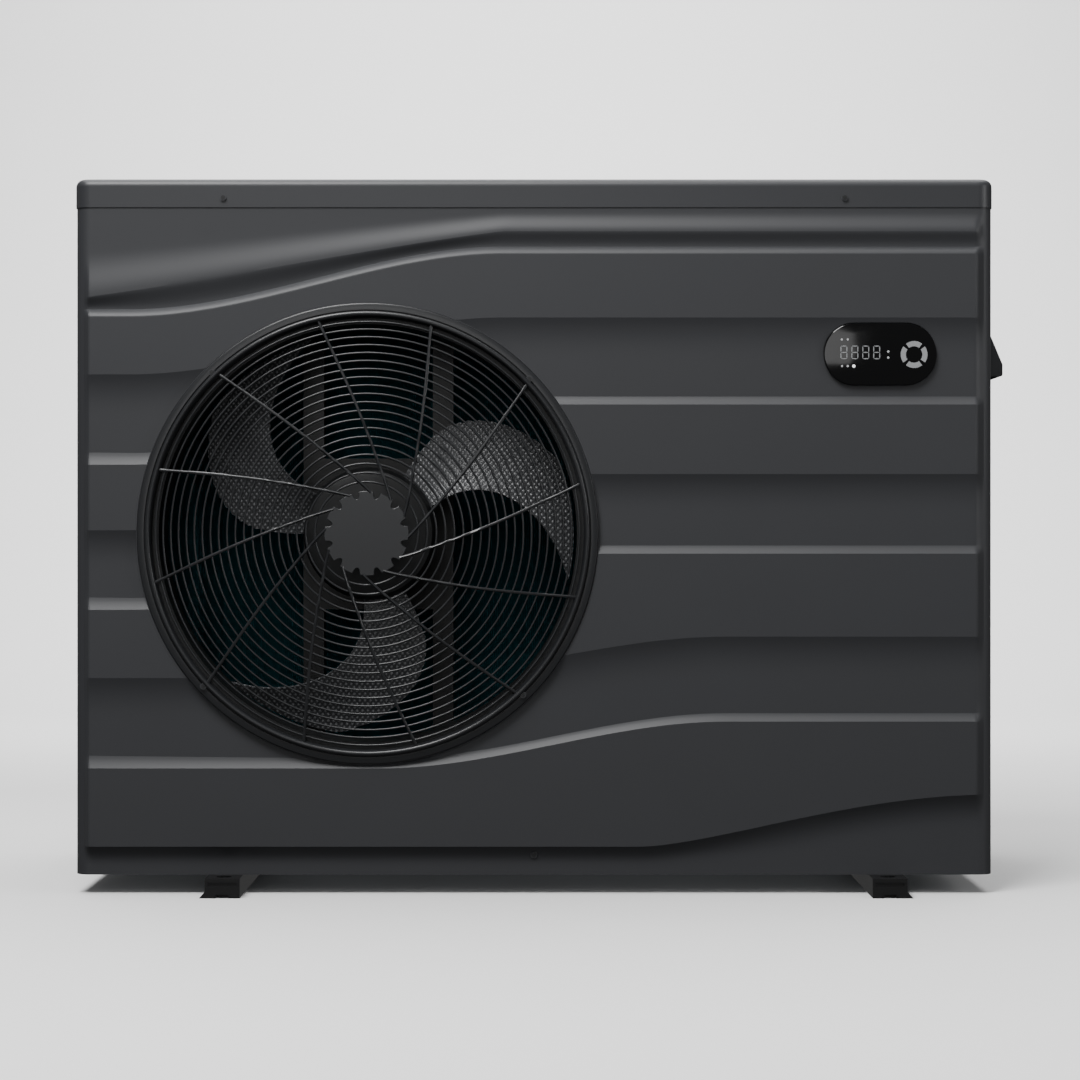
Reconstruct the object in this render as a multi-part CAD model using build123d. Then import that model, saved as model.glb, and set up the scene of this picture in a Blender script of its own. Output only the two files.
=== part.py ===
from build123d import *
import math
import os

# Pool heat pump unit, in millimetres. Front is -Y, right is +X, up is +Z.
# The origin is the centre of the four anchor holes, on the floor.

# Casing
casing_w = 960.0
casing_d = 410.0
total_h = 748.0
corner_r = 15.0
panel_t = 3.0
sheet_t = 1.5
seam = 0.5
lid_h = 30.0
lid_t = 2.5
lid_lip = 1.0
lid_edge_r = 8.0
front_return = 30.0
tongue_h = 18.0
lid_screw_inset = 155.0
lid_screw_z = 10.0
base_screw_z = 20.5

# Relief of the front panel: lines that run from a left height to a right height.
# Heights are shares of the panel height below the lid, places are shares of the width.
plate_proud = 8.0
scoop_depth = 4.5
step_bevel = 4.0
scoop_fade = 24.0
scoop_bevel = 9.0
base_fade = 14.0
plate_left = 13.6
plate_right = 8.4
rise_start, rise_end = 0.060, 0.466
low_rise_start, low_rise_end = 0.332, 0.708
tail_start = 0.616
step_line = (0.153, 0.059, rise_start, rise_end)
tail_line = (0.957, 0.879, tail_start, 1.0)
scoop_lines = [
    ((0.251, 0.166, rise_start, rise_end), (0.386, 0.296, rise_start, rise_end)),
    ((0.484, 0.400, rise_start, rise_end), (0.603, 0.519, rise_start, rise_end)),
    ((0.705, 0.643, low_rise_start, low_rise_end), (0.840, 0.770, low_rise_start, low_rise_end)),
]

# Foot rails, their rubber caps and the anchor holes
foot_spacing = 690.0
foot_inset = 158.0
foot_h = 20.0
rail_w = 36.0
rail_t = 2.0
rail_over = 33.0
cap_t = 6.0
cap_plug = 6.0
cap_flare = 6.0
cap_notch_w = 13.0
cap_notch_h = 3.5
cap_slot_w = 30.0
cap_slot_h = 4.0
cap_slot_depth = 1.5
anchor_r = 5.0
anchor_access_r = 8.0
anchor_from_end = 15.0

# Base pan and drain
pan_t = 2.0
pan_flange = 30.0
drain_r = 8.0
drain_wall = 2.0
drain_flange_r = 18.0
drain_clear = 3.0
drain_y = 60.0
hole_gap = 0.3

# Fan, shroud, guard and motor
fan_edge_gap = 65.4
fan_drop = 7.2
fan_r = 215.0
tip_gap = 4.0
duct_t = 3.0
duct_len = 75.0
duct_flange_w = 16.0
bell_len = 15.0
bell_flare = 10.0
opening_gap = 4.0
land_w = 15.0
guard_t = 3.0
guard_dome = 17.0
guard_ring_count = 20
guard_ring_w = 2.6
guard_hub_r = 43.0
guard_first_r = 53.5
guard_spoke_count = 12
guard_spoke_w = 3.2
guard_pitch_growth = 0.09
guard_flat_share = 0.62
guard_spoke_start = 13.0
guard_spoke_mid_share = 0.4
guard_spoke_mid_lag = 13.0
guard_spoke_root_lag = 45.0
guard_clip_angles = (43.7, 134.0, 223.0, 314.0)
fan_setback = 22.0
blade_count = 3
blade_t = 2.5
blade_root_angle = 45.0
blade_sweep = 40.0
blade_root_pitch = 34.0
blade_tip_pitch = 18.0
blade_growth = 0.6
blade_shares = (0.0, 0.25, 0.5, 0.75, 1.03)
hub_r = 70.0
hub_len = 55.0
hub_wall = 5.0
hub_boss_r = 15.0
shaft_r = 6.0
bearing_gap = 0.05
nut_t = 10.0
nut_af = 19.0
motor_r = 65.0
motor_len = 95.0
motor_wall = 6.0
motor_bearing = 18.0
motor_setback = 20.0
rotor_r = 34.0
rotor_gap = 1.0
motor_bolt_pitch_r = 55.0
motor_bolt_count = 4
motor_bolt_angle = 45.0
post_offset = 72.0
post_w = 23.0
post_d = 22.0
post_t = 2.0
motor_plate_below = 84.0
motor_plate_above = 84.0

# Screws
screw_r = 2.0
screw_head_r = 3.4
screw_head_t = 2.0
screw_length = 12.0
screw_hole_r = 2.3

# Side and rear grilles
slot_w = 10.0
slot_h = 80.0
slot_pitch_y = 22.0
slot_pitch_z = 98.0
slot_margin = 26.0
guard_bar = 5.0
guard_cell = 36.0
rear_guard_t = 3.0

# Hood over the grip on the right panel
hood_drop = 63.0
hood_h = 104.0
hood_lip = 13.0
hood_out = 38.0
hood_w = 110.0
hood_y = 22.0
hood_t = 2.5
hood_roof_t = 7.5

# Touch display
display_inset = 118.7
display_drop = 154.0
display_a = 59.0
display_b = 32.5
display_land = 1.5
display_t = 5.0
display_rim = 4.0
display_cup = 18.0
display_cup_t = 2.0
board_t = 1.6
display_board_w = 82.0
display_board_h = 40.0

# Evaporator
partition_gap = 17.0
core_t = 40.0
core_gap = 8.0
core_bend_r = 60.0
core_end_gap = 24.0
core_top_gap = 43.0
core_front_gap = 50.0
end_plate_t = 1.5
end_plate_lip = 3.0
tube_r = 4.8
tube_pitch = 25.4
first_bend_share = 1.25

# Compressor
comp_r = 59.0
comp_h = 260.28
comp_gap_x = 30.0
comp_gap_y = 54.0
grommet_r = 14.0
grommet_h = 18.0
comp_plate_t = 3.0
comp_foot_r = 78.0
comp_dome_r = 22.0
cover_r = 24.0
cover_h = 25.0
bolt_r = 4.0
bolt_head_r = 7.5
bolt_head_h = 5.0
acc_r = 30.0
acc_h = 180.0
acc_gap = 6.0
acc_offset_y = 25.0
acc_lift = 40.0
line_r = 6.0
line_wall = 1.0
line_bend = 12.0
valve_r = 15.0
valve_above = 96.882
valve_stub = 25.0
coil_r = 17.0
coil_len = 38.0
port_rise = 24.0

# Water side
shell_r = 75.0
shell_wall = 5.0
shell_h = 420.0
shell_gap_x = 40.0
shell_gap_y = 55.0
shell_lift = 30.0
shell_cap_h = 16.0
shell_cap_over = 4.0
coil_turns = 12
coil_tube_r = 6.0
coil_clear = 6.0
water_r = 21.0
water_wall = 4.0
water_low = 75.0
water_high = 290.0
thread_over = 4.0
thread_len = 20.0
thread_start = 2.0
seal_t = 2.0
socket_r = 25.0
socket_len = 31.0
socket_wall = 4.0
collar_t = 6.0
collar_clear = 1.0
nut_wall = 7.0
nut_lip = 6.0
nut_gap = 0.2
nut_rib_count = 12
liquid_z = 45.0
expansion_r = 12.0
expansion_len = 46.0

# Flow switch
switch_w = 32.0
switch_d = 28.0
switch_h = 30.0
switch_y = 26.0
paddle_w = 20.0
paddle_t = 1.0
paddle_pin_r = 1.5
paddle_hub_r = 3.0
paddle_above = 8.0
paddle_reach = 47.0
paddle_slot_back = 9.0
paddle_slot_front = 4.0
saddle_share = 0.7

# Electrical
box_side = 26.0
box_front = 40.0
box_d = 108.0
box_h = 200.271
box_top = 34.0
box_t = 2.0
sink_base = 4.0
sink_fin = 28.0
sink_fin_t = 2.0
sink_count = 8
sink_d = 96.0
sink_h = 100.0
terminal_w = 90.0
terminal_ways = 6
capacitor_count = 4
capacitor_r = 8.5
capacitor_pitch = 39.0
gland_r = 8.0
gland_wall = 4.0
gland_len = 34.0
gland_flange_r = 16.0
gland_flange_t = 5.0
gland_inset = 60.0
gland_drop = 130.0

# Places that follow from the sizes above
x_left = -foot_spacing / 2 - foot_inset
x_right = x_left + casing_w
x_mid = (x_left + x_right) / 2
y_front = -casing_d / 2
y_rear = casing_d / 2
z_base = foot_h
z_seam = total_h - lid_h
panel_h = z_seam - z_base
y_plate = y_front - plate_proud
y_scoop = y_plate + scoop_depth
y_back = y_scoop + panel_t
in_x0 = x_left + panel_t + seam + pan_t + seam
in_x1 = x_right - panel_t - seam - pan_t - seam
in_y0 = y_front + panel_t + seam + pan_t + seam
in_y1 = y_rear - panel_t - seam - pan_t - seam
z_floor = z_base + pan_t
z_roof = total_h - lid_t - seam
duct_r = fan_r + tip_gap
flange_r = duct_r + duct_t + duct_flange_w
hole_r = duct_r + duct_t + opening_gap
guard_r = hole_r + land_w
fan_x = x_left + fan_edge_gap + guard_r
fan_z = (z_base + total_h) / 2 - fan_drop
y_hub = y_plate + fan_setback + nut_t
y_motor = y_hub + hub_len + motor_setback
y_post = y_motor + motor_len
partition_x = fan_x + guard_r + partition_gap
core_y1 = in_y1 - core_gap
core_mid_y = core_y1 - core_t / 2
core_x0 = in_x0 + core_gap
core_x1 = partition_x - core_end_gap
core_z1 = total_h - core_top_gap
comp_x = partition_x + sheet_t + comp_gap_x + comp_r
comp_y = in_y0 + comp_gap_y + comp_r
comp_z = z_floor + grommet_h
comp_top = comp_z + comp_plate_t + comp_h
acc_x = comp_x + comp_r + acc_gap + acc_r
acc_y = comp_y - acc_offset_y
acc_top = z_floor + acc_lift + acc_h
valve_x = comp_x + valve_stub
valve_z = comp_top + valve_above
shell_x = x_right - shell_gap_x - shell_r
shell_y = y_rear - shell_gap_y - shell_r
shell_z = z_floor + shell_lift
thread_r = socket_r + socket_wall + thread_over
collar_r = thread_r - collar_clear
nut_r = thread_r + nut_wall
inlet_z = shell_z + water_low
outlet_z = shell_z + water_high
switch_mid_y = shell_y + shell_r + switch_y
paddle_z = inlet_z + water_r + water_wall + paddle_above
sink_z = z_roof - box_top - box_h / 2
display_x = x_right - display_inset
display_z = z_seam - display_drop


def block(x0, x1, y0, y1, z0, z1):
    """A box between two corners."""
    centre = Pos((x0 + x1) / 2, (y0 + y1) / 2, (z0 + z1) / 2)
    return centre * Box(abs(x1 - x0), abs(y1 - y0), abs(z1 - z0))


def rod_x(x0, x1, y, z, r):
    return Pos((x0 + x1) / 2, y, z) * Rot(0, 90, 0) * Cylinder(r, abs(x1 - x0))


def rod_y(x, y0, y1, z, r):
    return Pos(x, (y0 + y1) / 2, z) * Rot(90, 0, 0) * Cylinder(r, abs(y1 - y0))


def rod_z(x, y, z0, z1, r):
    return Pos(x, y, (z0 + z1) / 2) * Cylinder(r, abs(z1 - z0))


def at_fan(angle, radius):
    """X and Z of a point at an angle and radius about the fan axis."""
    turn = math.radians(angle)
    return fan_x + radius * math.cos(turn), fan_z + radius * math.sin(turn)


def front_plane(y):
    """A sketch plane across the casing: its X is +X, its Y is +Z, and it faces -Y."""
    return Plane(origin=(0, y, 0), x_dir=(1, 0, 0), z_dir=(0, -1, 0))


def screw_y(x, y, z, length):
    """A pan-head screw whose head rests at y and whose shank runs to +Y."""
    head = rod_y(x, y - screw_head_t, y, z, screw_head_r)
    return head + rod_y(x, y, y + length, z, screw_r)


def tube(points, radius):
    """A round tube along a route with rounded corners."""
    route = FilletPolyline(*points, radius=line_bend) if len(points) > 2 else Line(*points)
    start = Plane(origin=route @ 0, z_dir=route % 0)
    ring = Circle(radius) - Circle(radius - line_wall)
    return sweep(start * ring, path=route)


def relief_edges(line, x0, x1, shift):
    """The edges of one relief line from x0 to x1, moved up by shift."""
    left, right, start, end = line
    z0 = z_seam - left * panel_h + shift
    z1 = z_seam - right * panel_h + shift
    xa = x_left + start * casing_w
    xb = min(x_left + end * casing_w, x1)
    third = (xb - xa) / 3
    edges = [Line((x0, z0), (xa, z0)), Bezier((xa, z0), (xa + third, z0), (xb - third, z1), (xb, z1))]
    if xb < x1:
        edges.append(Line((xb, z1), (x1, z1)))
    return edges


def relief_face(upper, lower, x0, x1, up_shift, low_shift):
    """The area between two relief lines."""
    top = relief_edges(upper, x0, x1, up_shift)
    low = relief_edges(lower, x0, x1, low_shift)
    sides = [Line(top[0] @ 0, low[0] @ 0), Line(top[-1] @ 1, low[-1] @ 1)]
    return make_face(top + low + sides)


def relief_solid(upper, lower, near, far, near_shifts, far_shifts, inset=0.0):
    """A slab between two relief lines, from depth near to depth far, with its own slopes."""
    x0 = x_left + plate_left + inset
    x1 = x_right - plate_right - inset
    front = front_plane(near) * relief_face(upper, lower, x0, x1, *near_shifts)
    back = front_plane(far) * relief_face(upper, lower, x0, x1, *far_shifts)
    return loft([front.face(), back.face()], ruled=True)


def front_panel():
    """Moulded panel: a thin shell with a proud plate, three swept scoops and the fan opening."""
    outer = block(x_left, x_right, y_front, y_front + front_return, z_base, z_seam)
    front_corners = outer.edges().filter_by(Axis.Z).group_by(Axis.Y)[0]
    outer = fillet(front_corners, corner_r)
    inner = block(x_left + panel_t, x_right - panel_t, y_front + panel_t, y_front + front_return,
                  z_base, z_seam)
    inner_corners = inner.edges().filter_by(Axis.Z).group_by(Axis.Y)[0]
    body = outer - fillet(inner_corners, corner_r - panel_t)
    flush = (0.0, 0.0)
    body += relief_solid(step_line, tail_line, y_plate, y_front, (-step_bevel, 0.0), (0.0, -base_fade))
    body -= relief_solid(step_line, tail_line, y_back, y_front + panel_t, (-step_bevel - panel_t, panel_t),
                         (-step_bevel - panel_t, panel_t), panel_t)
    for upper, lower in scoop_lines:
        body -= relief_solid(upper, lower, y_plate, y_scoop, flush, (-scoop_fade, scoop_bevel))
    lands = [step_line] + [line for pair in scoop_lines for line in pair] + [tail_line]
    for k in range(0, len(lands), 2):
        top_shift = -panel_t - (step_bevel if k == 0 else 0.0)
        body -= relief_solid(lands[k], lands[k + 1], y_plate + panel_t, y_back,
                             (top_shift, panel_t), (top_shift, panel_t), panel_t)
    body += rod_y(fan_x, y_plate, y_back, fan_z, guard_r)
    body -= rod_y(fan_x, y_back, y_front + panel_t, fan_z, flange_r + hole_gap)
    body -= rod_y(fan_x, y_plate, y_front + panel_t, fan_z, hole_r)
    body -= display_oval(display_land, y_plate, y_scoop)
    body += display_oval(display_land + panel_t, y_scoop, y_back)
    body -= display_oval(-display_rim, y_plate, y_back)
    tongue_y = y_front - lid_lip + lid_t + seam
    body += block(x_left + corner_r, x_right - corner_r, tongue_y, tongue_y + panel_t, z_seam - panel_t,
                  z_seam + tongue_h)
    for x in lid_screw_places():
        body -= rod_y(x, y_front, y_front + front_return, z_seam + lid_screw_z, screw_hole_r)
    body -= rod_y(x_mid, y_front, y_front + front_return, z_base + base_screw_z, screw_hole_r)
    body -= rod_y(x_mid, y_plate, y_front, z_base + base_screw_z, screw_head_r + hole_gap)
    for angle in guard_clip_angles:
        x, z = at_fan(angle, guard_r - land_w / 2)
        body -= rod_y(x, y_plate, y_back, z, screw_hole_r)
    return body


def display_oval(grow, y0, y1):
    """An oval slab about the display's centre."""
    oval = Pos(display_x, display_z) * SlotOverall(2 * (display_a + grow), 2 * (display_b + grow))
    return extrude(front_plane(y1) * oval, y1 - y0)


def lid_screw_places():
    return (x_left + lid_screw_inset, x_right - lid_screw_inset)


def top_cover():
    """Lid with a skirt that stands on the panels and a rounded top edge."""
    outer = block(x_left - lid_lip, x_right + lid_lip, y_front - lid_lip, y_rear + lid_lip,
                  z_seam, total_h)
    outer = fillet(outer.edges().filter_by(Axis.Z), corner_r + lid_lip)
    outer = fillet(outer.faces().sort_by(Axis.Z)[-1].edges(), lid_edge_r)
    wall = lid_t - lid_lip
    inner = block(x_left + wall, x_right - wall, y_front + wall, y_rear - wall,
                  z_seam, total_h - lid_t)
    inner = fillet(inner.edges().filter_by(Axis.Z), corner_r - wall)
    inner = fillet(inner.faces().sort_by(Axis.Z)[-1].edges(), lid_edge_r - lid_t)
    lid = outer - inner
    for x in lid_screw_places():
        lid -= rod_y(x, y_front - lid_lip, y_front + wall, z_seam + lid_screw_z, screw_hole_r)
    return lid


def panel_screws():
    """Screws of the lid, of the panel's foot and of the fan guard."""
    screws = []
    for x in lid_screw_places():
        screws.append(screw_y(x, y_front - lid_lip, z_seam + lid_screw_z, screw_length))
    screws.append(screw_y(x_mid, y_front, z_base + base_screw_z, screw_length))
    for angle in guard_clip_angles:
        x, z = at_fan(angle, guard_r - land_w / 2)
        screws.append(screw_y(x, y_plate - guard_t, z, guard_t + y_back - y_plate - seam))
    return screws


def base_pan():
    """Folded tray under the whole unit, with the drain hole."""
    x0 = x_left + panel_t + seam
    x1 = x_right - panel_t - seam
    y0 = y_front + panel_t + seam
    y1 = y_rear - panel_t - seam
    pan = block(x0, x1, y0, y1, z_base, z_base + pan_flange)
    pan = fillet(pan.edges().filter_by(Axis.Z), corner_r - panel_t - seam)
    well = block(x0 + pan_t, x1 - pan_t, y0 + pan_t, y1 - pan_t, z_floor, z_base + pan_flange)
    well = fillet(well.edges().filter_by(Axis.Z), corner_r - panel_t - seam - pan_t)
    pan -= well
    pan -= rod_z(fan_x, drain_y, z_base, z_floor, drain_r + drain_wall + hole_gap)
    pan -= rod_y(x_mid, y0, y0 + pan_t, z_base + base_screw_z, screw_hole_r)
    return pan


def drain_spout():
    """Flanged spigot that carries condensate down through the pan."""
    spout = rod_z(fan_x, drain_y, drain_clear, z_floor, drain_r + drain_wall)
    spout += rod_z(fan_x, drain_y, z_floor, z_floor + drain_wall, drain_flange_r)
    return spout - rod_z(fan_x, drain_y, drain_clear, z_floor + drain_wall, drain_r)


def foot_rail(side):
    """Channel with its web inboard; bottom flange holds the anchor holes."""
    x = side * foot_spacing / 2
    y_end = casing_d / 2 + rail_over
    rail = block(x - rail_w / 2, x + rail_w / 2, -y_end, y_end, 0, foot_h)
    web_x = x - side * rail_w / 2 + side * rail_t
    rail -= block(web_x, x + side * rail_w / 2, -y_end, y_end, rail_t, foot_h - rail_t)
    for end in (-1, 1):
        y = end * (y_end - anchor_from_end)
        rail -= rod_z(x, y, 0, rail_t, anchor_r)
        rail -= rod_z(x, y, foot_h - rail_t, foot_h, anchor_access_r)
    return rail


def foot_cap(side, end):
    """Rubber cap on a rail end: flared outboard, notched below, slotted across its face."""
    x = side * foot_spacing / 2
    y0 = end * (casing_d / 2 + rail_over)
    y1 = y0 + end * cap_t
    inner = x - side * rail_w / 2
    outer = x + side * rail_w / 2
    shape = Polyline((inner, 0), (outer + side * cap_flare, 0), (outer, foot_h / 3), (outer, foot_h),
                     (inner, foot_h), close=True)
    face = make_face(shape)
    cap = extrude(front_plane(max(y0, y1)) * face, cap_t)
    web_x = inner + side * rail_t
    cap += block(web_x, outer - side * rail_t, y0, y0 - end * cap_plug, rail_t, foot_h - rail_t)
    cap -= block(x - cap_notch_w / 2, x + cap_notch_w / 2, y0, y1, 0, cap_notch_h)
    slot_z = foot_h - cap_slot_h * 2
    cap -= block(x - cap_slot_w / 2, x + cap_slot_w / 2, y1 - end * cap_slot_depth, y1, slot_z,
                 slot_z + cap_slot_h)
    return cap


def left_panel():
    """Side sheet with rows of intake slots beside the coil."""
    y0 = y_front + front_return
    depth = y_rear - y0
    rows = int((panel_h - 2 * slot_margin) / slot_pitch_z)
    columns = int((depth - 2 * slot_margin) / slot_pitch_y)
    sheet = Rectangle(depth, panel_h)
    slot = SlotOverall(slot_h, slot_w, rotation=90)
    sheet -= GridLocations(slot_pitch_y, slot_pitch_z, columns, rows) * slot
    centre = (x_left, (y0 + y_rear) / 2, (z_base + z_seam) / 2)
    plane = Plane(origin=centre, x_dir=(0, 1, 0), z_dir=(1, 0, 0))
    return extrude(plane * sheet, sheet_t)


def right_panel():
    """Plain side sheet that carries the hood."""
    return block(x_right - sheet_t, x_right, y_front + front_return, y_rear, z_base, z_seam)


def rear_guard():
    """Moulded grid that guards the coil at the back."""
    x0 = x_left + sheet_t
    x1 = partition_x + sheet_t
    pitch = guard_cell + guard_bar
    columns = int((x1 - x0 - 2 * guard_bar) / pitch)
    rows = int((panel_h - 2 * guard_bar) / pitch)
    cell = Rectangle(guard_cell, guard_cell)
    sheet = Rectangle(x1 - x0, panel_h) - GridLocations(pitch, pitch, columns, rows) * cell
    plane = front_plane(y_rear) * Pos((x0 + x1) / 2, (z_base + z_seam) / 2)
    return extrude(plane * sheet, rear_guard_t)


def rear_panel():
    """Service panel behind the compressor, with the water and cable holes."""
    sheet = block(partition_x + sheet_t, x_right - sheet_t, y_rear - sheet_t, y_rear, z_base, z_seam)
    for z in (inlet_z, outlet_z):
        sheet -= rod_y(shell_x, y_rear - sheet_t, y_rear, z, water_r + water_wall + hole_gap)
    x, z = gland_place()
    sheet -= rod_y(x, y_rear - sheet_t, y_rear, z, gland_r + gland_wall + hole_gap)
    return sheet


def gland_place():
    return x_right - gland_inset, z_seam - gland_drop


def side_handle():
    """Sloped hood on the right panel, open below for the fingers."""
    z_top = z_seam - hood_drop
    z_low = z_top - hood_h
    outer = Polyline((x_right, z_top), (x_right + hood_out, z_low + hood_lip), (x_right + hood_out, z_low),
                     (x_right, z_low), close=True)
    x_wall = x_right + hood_out - hood_t
    inner = Polyline((x_right, z_top - hood_roof_t), (x_wall, z_low + hood_lip - hood_t),
                     (x_wall, z_low), (x_right, z_low), close=True)
    y_far = hood_y + hood_w / 2
    hood = extrude(front_plane(y_far) * make_face(outer), hood_w)
    hood = fillet(hood.edges().filter_by(Axis.Y).sort_by(Axis.X)[-1], hood_t)
    return hood - extrude(front_plane(y_far - hood_t) * make_face(inner), hood_w - 2 * hood_t)


def fan_guard():
    """Domed guard: rings, swept spokes, a hub disc and a rim, moulded in one piece."""
    last_r = hole_r - 2 * guard_ring_w
    parts = []
    for k in range(guard_ring_count):
        share = k / (guard_ring_count - 1)
        grown = share * (1 + guard_pitch_growth * (1 - share))
        r = guard_first_r + (last_r - guard_first_r) * grown
        parts.append(Circle(r + guard_ring_w / 2) - Circle(r - guard_ring_w / 2))
    inner = guard_hub_r - guard_spoke_w
    middle = (inner + hole_r) * guard_spoke_mid_share
    outer = hole_r + guard_spoke_w
    spine = ThreePointArc(polar_point(outer, 0), polar_point(middle, -guard_spoke_mid_lag),
                          polar_point(inner, -guard_spoke_root_lag))
    turn = 360 / guard_spoke_count
    for k in range(guard_spoke_count):
        parts.append(Rot(0, 0, guard_spoke_start + turn * k) * SlotArc(spine, guard_spoke_w))
    parts.append(Circle(guard_hub_r))
    parts.append(Circle(guard_r) - Circle(hole_r))
    flat = Sketch() + parts
    slab = extrude(front_plane(y_plate) * Pos(fan_x, fan_z) * flat, guard_dome + 2 * guard_t)
    shoulder = guard_r * guard_flat_share
    skin = Polyline((0, guard_dome + guard_t), (shoulder, guard_dome + guard_t), (hole_r, guard_t),
                    (guard_r, guard_t), (guard_r, 0), (hole_r - guard_ring_w, 0), (shoulder, guard_dome),
                    (0, guard_dome), close=True)
    bowl = revolve(Plane.XZ * make_face(skin), Axis.Z)
    guard = slab & (Pos(fan_x, y_plate, fan_z) * Rot(90, 0, 0) * bowl)
    for angle in guard_clip_angles:
        x, z = at_fan(angle, guard_r - land_w / 2)
        guard -= rod_y(x, y_plate - 3 * guard_t, y_plate, z, screw_hole_r)
    return guard


def polar_point(radius, angle):
    turn = math.radians(angle)
    return (radius * math.cos(turn), radius * math.sin(turn))


def fan_shroud():
    """Duct round the blades, flanged to the panel and belled at the intake end."""
    outer = duct_r + duct_t
    y_end = duct_len
    y_bell = y_end + bell_len
    profile = Polyline((duct_r, 0), (flange_r, 0), (flange_r, duct_t), (outer, duct_t), (outer, y_end),
                       (outer + bell_flare, y_bell), (duct_r + bell_flare, y_bell), (duct_r, y_end),
                       close=True)
    ring = revolve(Plane.XZ * make_face(profile), Axis.Z)
    return Pos(fan_x, y_back, fan_z) * Rot(-90, 0, 0) * ring


def blade_section(radius, angle, chord, pitch):
    """One flat section of a blade, square to the radius."""
    turn = math.radians(angle)
    tilt = math.radians(pitch)
    radial = Vector(math.cos(turn), 0, math.sin(turn))
    around = Vector(-math.sin(turn), 0, math.cos(turn))
    along = around * math.cos(tilt) + Vector(0, 1, 0) * math.sin(tilt)
    centre = Vector(fan_x, y_hub + hub_len / 2, fan_z) + radial * radius
    place = Plane(origin=centre, x_dir=along, z_dir=radial)
    return (place * Rectangle(chord, blade_t)).face()


def fan_blades():
    """Hub cup with three swept sickle blades."""
    y0 = y_hub
    y1 = y_hub + hub_len
    hub = rod_y(fan_x, y0, y1, fan_z, hub_r) - rod_y(fan_x, y0 + hub_wall, y1, fan_z, hub_r - hub_wall)
    hub += rod_y(fan_x, y0, y1, fan_z, hub_boss_r)
    span = fan_r - hub_r
    start = hub_r - hub_wall / 2
    for k in range(blade_count):
        sections = []
        for share in blade_shares:
            radius = start + share * (fan_r - start)
            angle = blade_root_angle + 360 / blade_count * k - blade_sweep * share * share
            chord = hub_r + span * blade_growth * share
            pitch = blade_root_pitch + (blade_tip_pitch - blade_root_pitch) * share
            sections.append(blade_section(radius, angle, chord, pitch))
        hub += loft(sections) & rod_y(fan_x, y0 - hub_len, y1 + hub_len, fan_z, fan_r)
    return hub - rod_y(fan_x, y0 - hub_len, y1 + hub_len, fan_z, shaft_r)


def fan_nut():
    hexagon = front_plane(y_hub) * Pos(fan_x, fan_z) * RegularPolygon(nut_af / 2, 6, major_radius=False)
    return extrude(hexagon, nut_t) - rod_y(fan_x, y_hub - nut_t, y_hub, fan_z, shaft_r)


def motor_shaft():
    y1 = y_motor + motor_len - motor_wall / 2
    return rod_y(fan_x, y_hub - nut_t, y1, fan_z, shaft_r)


def motor_rotor():
    """Rotor pressed on the shaft inside the motor."""
    y0 = y_motor + motor_bearing + rotor_gap
    y1 = y_motor + motor_len - motor_bearing - rotor_gap
    return rod_y(fan_x, y0, y1, fan_z, rotor_r) - rod_y(fan_x, y0, y1, fan_z, shaft_r)


def fan_motor():
    """Motor housing with two bearing bosses and a chamber round the rotor."""
    y1 = y_motor + motor_len
    body = rod_y(fan_x, y_motor, y1, fan_z, motor_r)
    body = chamfer(body.edges().group_by(Axis.Y)[0], motor_wall)
    body -= rod_y(fan_x, y_motor + motor_bearing, y1 - motor_bearing, fan_z, rotor_r + rotor_gap)
    body -= rod_y(fan_x, y_motor, y1 - motor_wall / 2 + bearing_gap, fan_z, shaft_r + bearing_gap)
    for x, z in motor_bolt_places():
        body -= rod_y(x, y1 - motor_bearing, y1, z, screw_r)
    return body


def motor_bolt_places():
    pitch = 360 / motor_bolt_count
    return [at_fan(motor_bolt_angle + pitch * k, motor_bolt_pitch_r) for k in range(motor_bolt_count)]


def motor_bracket():
    """Two channel posts from pan to lid, joined by the motor plate."""
    bracket = block(fan_x - post_offset, fan_x + post_offset, y_post, y_post + post_t,
                    fan_z - motor_plate_below, fan_z + motor_plate_above)
    for side in (-1, 1):
        x = fan_x + side * post_offset
        post = block(x - post_w / 2, x + post_w / 2, y_post, y_post + post_d, z_floor, z_roof)
        post -= block(x - post_w / 2 + post_t, x + post_w / 2 - post_t, y_post + post_t, y_post + post_d,
                      z_floor, z_roof)
        bracket += post
    for x, z in motor_bolt_places():
        bracket -= rod_y(x, y_post, y_post + post_t, z, screw_hole_r)
    return bracket


def motor_bolts():
    """Screws that hold the motor, put in from behind the plate."""
    bolts = []
    y = y_post + post_t
    for x, z in motor_bolt_places():
        head = rod_y(x, y, y + screw_head_t, z, screw_head_r)
        bolts.append(head + rod_y(x, y - motor_bearing + post_t, y, z, screw_r))
    return bolts


def partition():
    """Sheet between the fan bay and the compressor bay, with holes for two lines."""
    wall = block(partition_x, partition_x + sheet_t, in_y0, in_y1, z_floor, z_roof)
    for z in (liquid_height(), gas_height()):
        wall -= rod_x(partition_x, partition_x + sheet_t, core_mid_y, z, line_r + hole_gap)
    return wall


def liquid_height():
    return z_floor + liquid_z


def gas_height():
    return valve_z + valve_r + port_rise


def evaporator_core():
    """L-shaped finned block along the back and the left side."""
    y0 = y_front + core_front_gap
    outer = block(core_x0, core_x1, y0, core_y1, z_floor, core_z1)
    outer_edge = outer.edges().filter_by(Axis.Z).group_by(Axis.Y)[-1].sort_by(Axis.X)[0]
    outer = fillet(outer_edge, core_bend_r + core_t)
    inner = block(core_x0 + core_t, core_x1, y0, core_y1 - core_t, z_floor, core_z1)
    inner_edge = inner.edges().filter_by(Axis.Z).group_by(Axis.Y)[-1].sort_by(Axis.X)[0]
    return outer - fillet(inner_edge, core_bend_r)


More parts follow.
